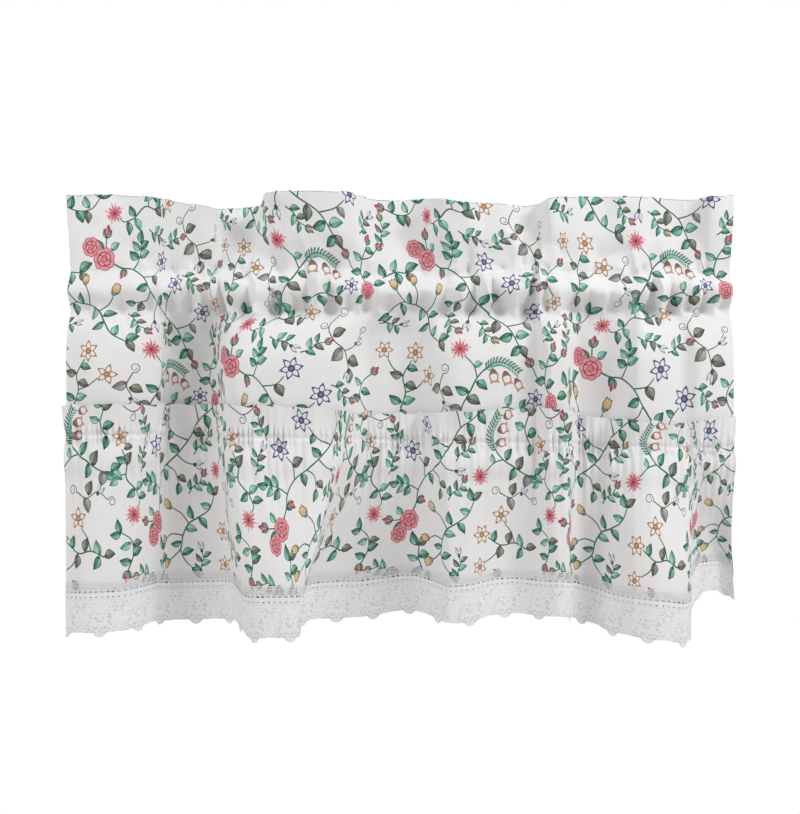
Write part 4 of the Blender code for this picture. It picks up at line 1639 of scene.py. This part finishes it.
def sheet_object(name, cloth, flat, triangles, lift=0.0):
    """A mesh of flat triangles laid on a cloth's shape, with smooth normals and its flat places as UVs."""
    points, normals = cloth.place(flat, lift)
    mesh = bpy.data.meshes.new(name)
    mesh.from_pydata(points.tolist(), [], triangles.tolist())
    uv = mesh.uv_layers.new(name=UV_NAME)
    share = flat[triangles.ravel()] / (cloth.width, cloth.height)
    uv.data.foreach_set("uv", np.clip(share, 0, 1).astype(np.float32).ravel())
    mesh.shade_smooth()
    mesh.normals_split_custom_set_from_vertices(normals.tolist())
    return add_object(name, mesh)


def printed_sheet(name, cloth, bands, turn, shift):
    """A cloth with the print as shapes of its own in the mesh, each corner coloured."""
    low = np.zeros(2)
    high = np.array((cloth.width, cloth.height))
    edge = np.array((low, (high[0], low[1]), high, (low[0], high[1])))
    shapes = print_shapes(low, high, turn, shift)
    flat, triangles, tops = cut_cloth(edge, banded_grid(cloth, bands), [s[0] for s in shapes])
    flat, triangles = compact(flat, triangles)
    piece = sheet_object(name, cloth, flat, triangles)
    near = np.array([GROUND] + [s[1] for s in shapes])[tops + 1]
    far = np.array([GROUND] + [s[2] for s in shapes])[tops + 1]
    start = np.array([(0.0, 0.0)] + [s[0][0] for s in shapes])[tops + 1]
    run = np.array([(1.0, 0.0)] + [s[0][len(s[0]) // 2] - s[0][0] for s in shapes])[tops + 1]
    corners = flat[triangles]
    share = np.sum((corners - start[:, None]) * run[:, None], axis=-1) / np.sum(run**2, axis=-1)[:, None]
    share = np.clip(share, 0, 1)[..., None]
    colour_corners(piece, near[:, None] * (1 - share) + far[:, None] * share)
    return piece


def lace_edge_height(across):
    """The lace's lower edge: shallow arcs between small lobes."""
    away = np.abs((across + LACE_REPEAT / 2) % LACE_REPEAT - LACE_REPEAT / 2)
    lobe = np.clip(1 - (away / LOBE_HALF) ** 2, 0, 1) ** LOBE_ROUNDNESS
    arc = np.cos(np.pi * away / LACE_REPEAT)
    return SCALLOP_DEPTH / MM * (1 - LOBE_SHARE * lobe - (1 - LOBE_SHARE) * arc)


def in_motif(places, grow):
    """Which places lie in the lace's solid parts, each grown by a margin."""
    inside = np.zeros(len(places), bool)
    beside = np.array((LACE_REPEAT, 0.0))
    for x, y, long, wide, angle in LACE_MOTIFS:
        for shift in (-beside, 0 * beside, beside):
            near = turned(places - (x, y) + shift, -angle)
            inside |= (near[:, 0] / (long + grow)) ** 2 + (near[:, 1] / (wide + grow)) ** 2 < 1
    return inside


def lattice(pitch, low, high):
    """Places of an even net over one repeat, each row set half a pitch along."""
    columns = round(LACE_REPEAT / pitch)
    rows = np.arange(low, high, pitch * ROW_STEP)
    shift = 0.5 * (np.arange(len(rows)) % 2)
    across = (np.arange(columns)[None, :] + shift[:, None]) * LACE_REPEAT / columns
    return np.stack((across, np.broadcast_to(rows[:, None], across.shape)), axis=-1).reshape(-1, 2)


def round_hole(at, radius, sides=6):
    """The corners of a round hole."""
    a = (np.arange(sides) + 0.5) * 2 * np.pi / sides
    return np.stack((np.cos(a), np.sin(a)), axis=1) * radius + at


def long_hole(at, size):
    """The corners of a long hole with its own corners cut off."""
    x = size[0] / 2
    y = size[1] / 2
    corner = min(x, y) * HOLE_CORNER
    side = ((x, -y + corner), (x, y - corner), (x - corner, y), (-x + corner, y))
    return np.array(side + tuple((-a, -b) for a, b in side)) + at


def lace_holes():
    """The holes of one repeat of the lace."""
    net = lattice(NET_PITCH, *NET_RISE)
    clear = net[:, 1] > lace_edge_height(net[:, 0]) + NET_ABOVE_EDGE
    net = net[clear & ~in_motif(net, NET_CLEAR_OF_MOTIF)]
    header = lattice(HEADER_PITCH, *HEADER_RISE)
    ladder = (np.arange(LADDER_REPEATS) + 0.5) * LACE_REPEAT / LADDER_REPEATS
    holes = [round_hole(at, NET_HOLE) for at in net]
    holes += [round_hole(at, HEADER_HOLE) for at in header]
    holes += [long_hole((x, LACE_LINE), LADDER_HOLE) for x in ladder]
    holes += [long_hole((x, SECOND_ROW), SECOND_HOLE) for x in ladder]
    return holes


def lace_eyes():
    """The closed eyes of one repeat of the lace, where its ground is thin, painted grey as the shade in the
    net's holes.
    """
    eyes = lattice(EYE_PITCH, *EYE_RISE)
    eyes = eyes[~in_motif(eyes, EYE_CLEAR_OF_MOTIF)]
    x, y = eyes.T
    unevenness = np.sin(EYE_SIZE_RATES[0] * x + EYE_SIZE_RATES[1] * y)
    sizes = EYE_SIZE * (1 + EYE_UNEVENNESS * unevenness)
    shifts = np.stack((np.sin(EYE_SHIFT_RATES[0] * y + x), np.cos(EYE_SHIFT_RATES[1] * x)), axis=1)
    return [round_hole(at, size, EYE_SIDES) for at, size in zip(eyes + shifts * EYE_SHIFT, sizes)]


def laid_along(shapes, width):
    """The shapes of one repeat of the lace, repeated along a width and clear of its ends."""
    laid = []
    for repeat in range(int(np.ceil(width / LACE_REPEAT)) + 1):
        for shape in shapes:
            place = shape + (repeat * LACE_REPEAT, 0.0)
            if place[:, 0].min() > LACE_END_MARGIN and place[:, 0].max() < width - LACE_END_MARGIN:
                laid.append(place * MM)
    return laid


def within_repeat(flat):
    """Flat places in millimetres, brought back into the lace's first repeat."""
    places = flat / MM
    places[:, 0] %= LACE_REPEAT
    return places


def lace_sheet(name, cloth, lift):
    """The lace, cut through at every hole of its net."""
    across = np.arange(0, cloth.width / MM, LACE_EDGE_STEP)
    lower = np.stack((across, lace_edge_height(across)), axis=1)
    upper = np.stack((across[::-1], np.full(len(across), LACE_TOP)), axis=1)
    edge = np.concatenate((lower, upper)) * MM
    eyes = laid_along(lace_eyes(), across[-1])
    holes = laid_along(lace_holes(), across[-1])
    margin = LACE_GRID_MARGIN * MM
    grid = flat_grid(
        (margin, LACE_GRID_BOTTOM * MM),
        (cloth.width - margin, LACE_TOP * MM - margin),
        LACE_GRID_STEPS[0] * MM,
        LACE_GRID_STEPS[1] * MM,
    )
    local = within_repeat(grid)
    above_edge = local[:, 1] - lace_edge_height(local[:, 0])
    solid = in_motif(local, GRID_MOTIF_MARGIN) | (np.abs(local[:, 1] - GRID_BAND) < GRID_BAND_HALF)
    solid |= (above_edge > GRID_EDGE_BAND[0]) & (above_edge < GRID_EDGE_BAND[1])
    flat, triangles, tops = cut_cloth(edge, grid[solid], eyes + holes)
    in_painted_shade_eye = tops[tops < len(eyes)] >= 0
    flat, triangles = compact(flat, triangles[tops < len(eyes)])
    piece = sheet_object(name, cloth, flat, triangles, lift)
    local = within_repeat(flat)
    thick = in_motif(local, THICK_MOTIF_MARGIN) | (local[:, 1] > THICK_HEADER)
    thick |= local[:, 1] < lace_edge_height(local[:, 0]) + THICK_EDGE
    colours = np.where(thick[:, None], np.array(LACE_WHITE), np.array(NET_WHITE))
    # Triangles in the closed eyes take a grey that is painted shade, standing in for the net's shadowed holes
    colour_corners(piece, np.where(in_painted_shade_eye[:, None, None], np.array(EYE_PAINTED_SHADE), colours[triangles]))
    return piece


def stitch_row(name, cloth, level, lift=0.0):
    """A row of machine stitches along a cloth at one level of it."""
    starts = np.arange(STITCH_ROW_START, cloth.width - STITCH_ROW_END, STITCH_PITCH)
    along, thick, out = np.transpose(STITCH_PROFILE)
    radius = thick * THREAD_RADIUS
    rise = out * THREAD_RADIUS
    across = starts[:, None] + STITCH_LENGTH * along[None, :]
    flat = np.stack((across, np.full(across.shape, level)), axis=-1)
    centre, normal = cloth.place(flat.reshape(-1, 2))
    centre = centre.reshape(len(starts), len(along), 3)
    normal = normal.reshape(centre.shape)
    way = np.gradient(centre, axis=1)
    way /= np.linalg.norm(way, axis=-1, keepdims=True)
    side = np.cross(way, normal)
    a = np.arange(STITCH_SIDES) * 2 * np.pi / STITCH_SIDES
    ring = normal[:, :, None] * np.cos(a)[:, None] + side[:, :, None] * np.sin(a)[:, None]
    points = (centre + normal * (rise + lift)[:, None])[:, :, None] + ring * radius[:, None, None]
    faces = []
    for s in range(len(starts)):
        for r in range(len(along) - 1):
            ring_start = (s * len(along) + r) * STITCH_SIDES
            next_start = ring_start + STITCH_SIDES
            for k in range(STITCH_SIDES):
                after = (k + 1) % STITCH_SIDES
                faces.append((ring_start + k, ring_start + after, next_start + after, next_start + k))
    mesh = bpy.data.meshes.new(name)
    mesh.from_pydata(points.reshape(-1, 3).tolist(), [], faces)
    mesh.shade_smooth()
    return add_object(name, mesh)


class Nodes:
    """Short ways to add and join a material's nodes.

    Inputs are given by socket name, with _ for a space, or by socket number as i0, i1 and so on.
    """

    def __init__(self, name):
        self.material = bpy.data.materials.new(name)
        self.material.use_nodes = True
        self.tree = self.material.node_tree
        self.shader = self.tree.nodes["Principled BSDF"]

    def add(self, kind, settings=(), **inputs):
        """A new node, with its settings and inputs."""
        node = self.tree.nodes.new(kind)
        for key, value in dict(settings).items():
            setattr(node, key, value)
        for key, value in inputs.items():
            self.set(node, key, value)
        return node

    def set(self, node, key, value):
        """Give an input a value, or join it to another node's output."""
        numbered = key[0] == "i" and key[1:].isdigit()
        socket = node.inputs[int(key[1:])] if numbered else node.inputs[key.replace("_", " ")]
        if isinstance(value, bpy.types.NodeSocket):
            self.tree.links.new(value, socket)
        else:
            socket.default_value = value

    def math(self, operation, a, b=0.0):
        return self.add("ShaderNodeMath", {"operation": operation}, i0=a, i1=b).outputs[0]

    def mix(self, share, a, b, blend="MIX"):
        """Two colours mixed by a share."""
        settings = {"data_type": "RGBA", "blend_type": blend}
        return self.add("ShaderNodeMix", settings, i0=share, i6=a, i7=b).outputs[2]

    def noise(self, **inputs):
        return self.add("ShaderNodeTexNoise", (), **inputs).outputs[0]

    def bump(self, **inputs):
        return self.add("ShaderNodeBump", (), **inputs).outputs[0]

    def mottled_ink(self, mottle, darkest, lightest):
        """The mesh's own colours, darkened unevenly by a noise."""
        ink = self.add("ShaderNodeVertexColor", {"layer_name": INK}).outputs[0]
        low, high = MOTTLE_RANGE
        span = {"From_Min": low, "From_Max": high, "To_Min": darkest, "To_Max": lightest}
        tone = self.add("ShaderNodeMapRange", (), Value=mottle, **span).outputs[0]
        shade = self.add("ShaderNodeCombineColor", (), Red=tone, Green=tone, Blue=tone).outputs[0]
        return self.mix(1.0, ink, shade, "MULTIPLY")

    def finish(self, **inputs):
        """The material, once its shader's inputs are set."""
        for key, value in inputs.items():
            self.set(self.shader, key, value)
        return self.material


def flat_places(nodes, cloth):
    """Places on the flat cloth in metres, from its UVs, whole and as two numbers."""
    uv = nodes.add("ShaderNodeUVMap", {"uv_map": UV_NAME}).outputs[0]
    place = nodes.add("ShaderNodeMapping", (), Vector=uv, Scale=(cloth.width, cloth.height, 1.0)).outputs[0]
    split = nodes.add("ShaderNodeSeparateXYZ", (), Vector=place)
    return place, split.outputs[0], split.outputs[1]


def cotton(name, cloth):
    """Fine plain weave, the print fainter on its wrong side."""
    nodes = Nodes(name)
    place, across, up = flat_places(nodes, cloth)
    turns = 2 * np.pi / WEAVE_PITCH
    over = [nodes.math("SINE", nodes.math("MULTIPLY", way, turns)) for way in (across, up)]
    weave = nodes.math("MULTIPLY", over[0], over[1])
    slub = nodes.noise(Vector=place, Scale=900.0, Detail=3.0)
    height = nodes.math("ADD", nodes.math("MULTIPLY", weave, WEAVE_SHARE), slub)
    worn = nodes.noise(Vector=place, Scale=34.0, Detail=4.0, Roughness=0.6)
    right = nodes.mottled_ink(worn, darkest=0.91, lightest=0.95)
    wrong = nodes.mix(WRONG_SIDE_FADE, right, (*GROUND, 1.0))
    back = nodes.add("ShaderNodeNewGeometry").outputs["Backfacing"]
    return nodes.finish(
        Base_Color=nodes.mix(back, right, wrong),
        Normal=nodes.bump(Strength=0.35, Distance=WEAVE_HEIGHT, Height=height),
        Roughness=0.86,
        Specular_IOR_Level=0.25,
        Sheen_Weight=0.12,
        Sheen_Roughness=0.5,
    )


def lace_cotton(name, cloth):
    """Soft white lace thread, whiter where it is worked thick."""
    nodes = Nodes(name)
    place, across, up = flat_places(nodes, cloth)
    slant = nodes.math("ADD", across, nodes.math("MULTIPLY", up, LACE_THREAD_SLANT))
    twist = nodes.math("SINE", nodes.math("MULTIPLY", slant, 2 * np.pi / LACE_THREAD_PITCH))
    fuzz = nodes.noise(Vector=place, Scale=1400.0, Detail=3.0)
    height = nodes.math("ADD", nodes.math("MULTIPLY", twist, LACE_THREAD_SHARE), fuzz)
    patch = nodes.noise(Vector=place, Scale=260.0, Detail=4.0)
    return nodes.finish(
        Base_Color=nodes.mottled_ink(patch, darkest=0.90, lightest=1.0),
        Normal=nodes.bump(Strength=0.6, Distance=LACE_THREAD_HEIGHT, Height=height),
        Roughness=0.9,
        Specular_IOR_Level=0.2,
        Sheen_Weight=0.15,
    )


def sewing_thread(name):
    """White twisted thread."""
    nodes = Nodes(name)
    place = nodes.add("ShaderNodeTexCoord").outputs["Object"]
    twist = nodes.add("ShaderNodeTexWave", {"bands_direction": "DIAGONAL"}, Vector=place, Scale=900.0)
    fuzz = nodes.noise(Vector=place, Scale=300.0)
    shades = [(*shade, 1.0) for shade in THREAD_SHADES]
    return nodes.finish(
        Base_Color=nodes.mix(fuzz, *shades),
        Normal=nodes.bump(Strength=0.5, Distance=SEWING_TWIST_HEIGHT, Height=twist.outputs[1]),
        Roughness=0.8,
    )


def dress():
    """The three sheets and their stitching."""
    panel = panel_cloth()
    ruffle = ruffle_cloth()
    lace = lace_cloth()

    panel_piece = printed_sheet("panel_cloth", panel, PANEL_BANDS, **PANEL_PRINT)
    panel_piece.data.materials.append(cotton("printed_cotton_weave", panel))
    ruffle_piece = printed_sheet("ruffle_cloth", ruffle, RUFFLE_BANDS, **RUFFLE_PRINT)
    ruffle_piece.data.materials.append(cotton("ruffle_cotton_weave", ruffle))
    lace_piece = lace_sheet("lace_trim", lace, LACE_LIFT)
    lace_piece.data.materials.append(lace_cotton("lace_thread", lace))

    thread = sewing_thread("sewing_thread_white")
    rows = (
        # name, cloth, level, above it, lift, material slot
        ("pocket_upper_stitches", panel, "upper stitching", 0.0, 0.0, "printed_cotton"),
        ("pocket_lower_stitches", panel, "lower stitching", 0.0, 0.0, "printed_cotton"),
        ("ruffle_seam_stitches", ruffle, "seam", 0.0, 0.0, "printed_cotton_ruffle"),
        ("lace_stitches", lace, "lace line", LACE_STITCH_RISE, LACE_LIFT, "white_lace"),
    )
    stitches = []
    for name, cloth, level, above, lift, slot in rows:
        row = stitch_row(name, cloth, cloth.levels[level] + above, lift)
        row.data.materials.append(thread)
        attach(row, "root")
        stitches.append(row)

    sheets = (
        # piece, solid it replaces, material slot, flat size, rows of stitches in it
        (panel_piece, "panel", "printed_cotton", (panel.width, panel.height), stitches[:2]),
        (ruffle_piece, "ruffle", "printed_cotton_ruffle", (ruffle.width, ruffle.height), stitches[2:3]),
        (lace_piece, "lace_edge", "white_lace", (lace.width, LACE_TOP * MM), stitches[3:]),
    )
    for piece, node, slot, flat, sewn in sheets:
        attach(piece, "root")
        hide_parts(node)


def set_stage():
    """A pale floor well below the curtain, a white backdrop and soft light."""
    bpy.ops.mesh.primitive_circle_add(
        vertices=FLOOR_SIDES, radius=FLOOR_RADIUS, fill_type="NGON", location=(0, 0, FLOOR_HEIGHT)
    )
    floor = bpy.context.object
    floor.name = "floor"
    pale = Nodes("pale_floor").finish(Base_Color=(*FLOOR_TINT, 1.0), Roughness=0.8)
    floor.data.materials.append(pale)

    world = bpy.data.worlds.new("studio")
    bpy.context.scene.world = world
    world.use_nodes = True
    tree = world.node_tree
    seen = tree.nodes.new("ShaderNodeBackground")
    seen.inputs[0].default_value = BACKDROP_COLOUR
    fill = tree.nodes["Background"]
    fill.inputs[0].default_value = FILL_COLOUR
    fill.inputs[1].default_value = FILL_STRENGTH
    path = tree.nodes.new("ShaderNodeLightPath")
    mix = tree.nodes.new("ShaderNodeMixShader")
    tree.links.new(path.outputs["Is Camera Ray"], mix.inputs[0])
    tree.links.new(fill.outputs[0], mix.inputs[1])
    tree.links.new(seen.outputs[0], mix.inputs[2])
    tree.links.new(mix.outputs[0], tree.nodes["World Output"].inputs[0])

    for name, place, size, power in LAMPS:
        lamp = bpy.data.lights.new(name, "AREA")
        lamp.shape = "DISK"
        lamp.size = size
        lamp.energy = power
        lamp.color = LAMP_COLOUR
        holder = add_object(name, lamp)
        holder.location = place
        aim = Vector((0.0, 0.0, CAMERA_HEIGHT)) - Vector(place)
        holder.rotation_euler = aim.to_track_quat("-Z", "Y").to_euler()


def set_camera():
    """The camera, level and square on, with the photograph's frame."""
    lens = bpy.data.cameras.new("camera")
    lens.sensor_width = SENSOR
    lens.lens = SENSOR * CAMERA_DISTANCE / (PHOTO_HEIGHT * MM)
    camera = add_object("camera", lens)
    camera.location = (0.0, -CAMERA_DISTANCE, CAMERA_HEIGHT)
    camera.rotation_euler = (np.pi / 2, 0.0, 0.0)
    bpy.context.scene.camera = camera
    bpy.context.scene.view_settings.view_transform = "Standard"


dress()
set_stage()
set_camera()
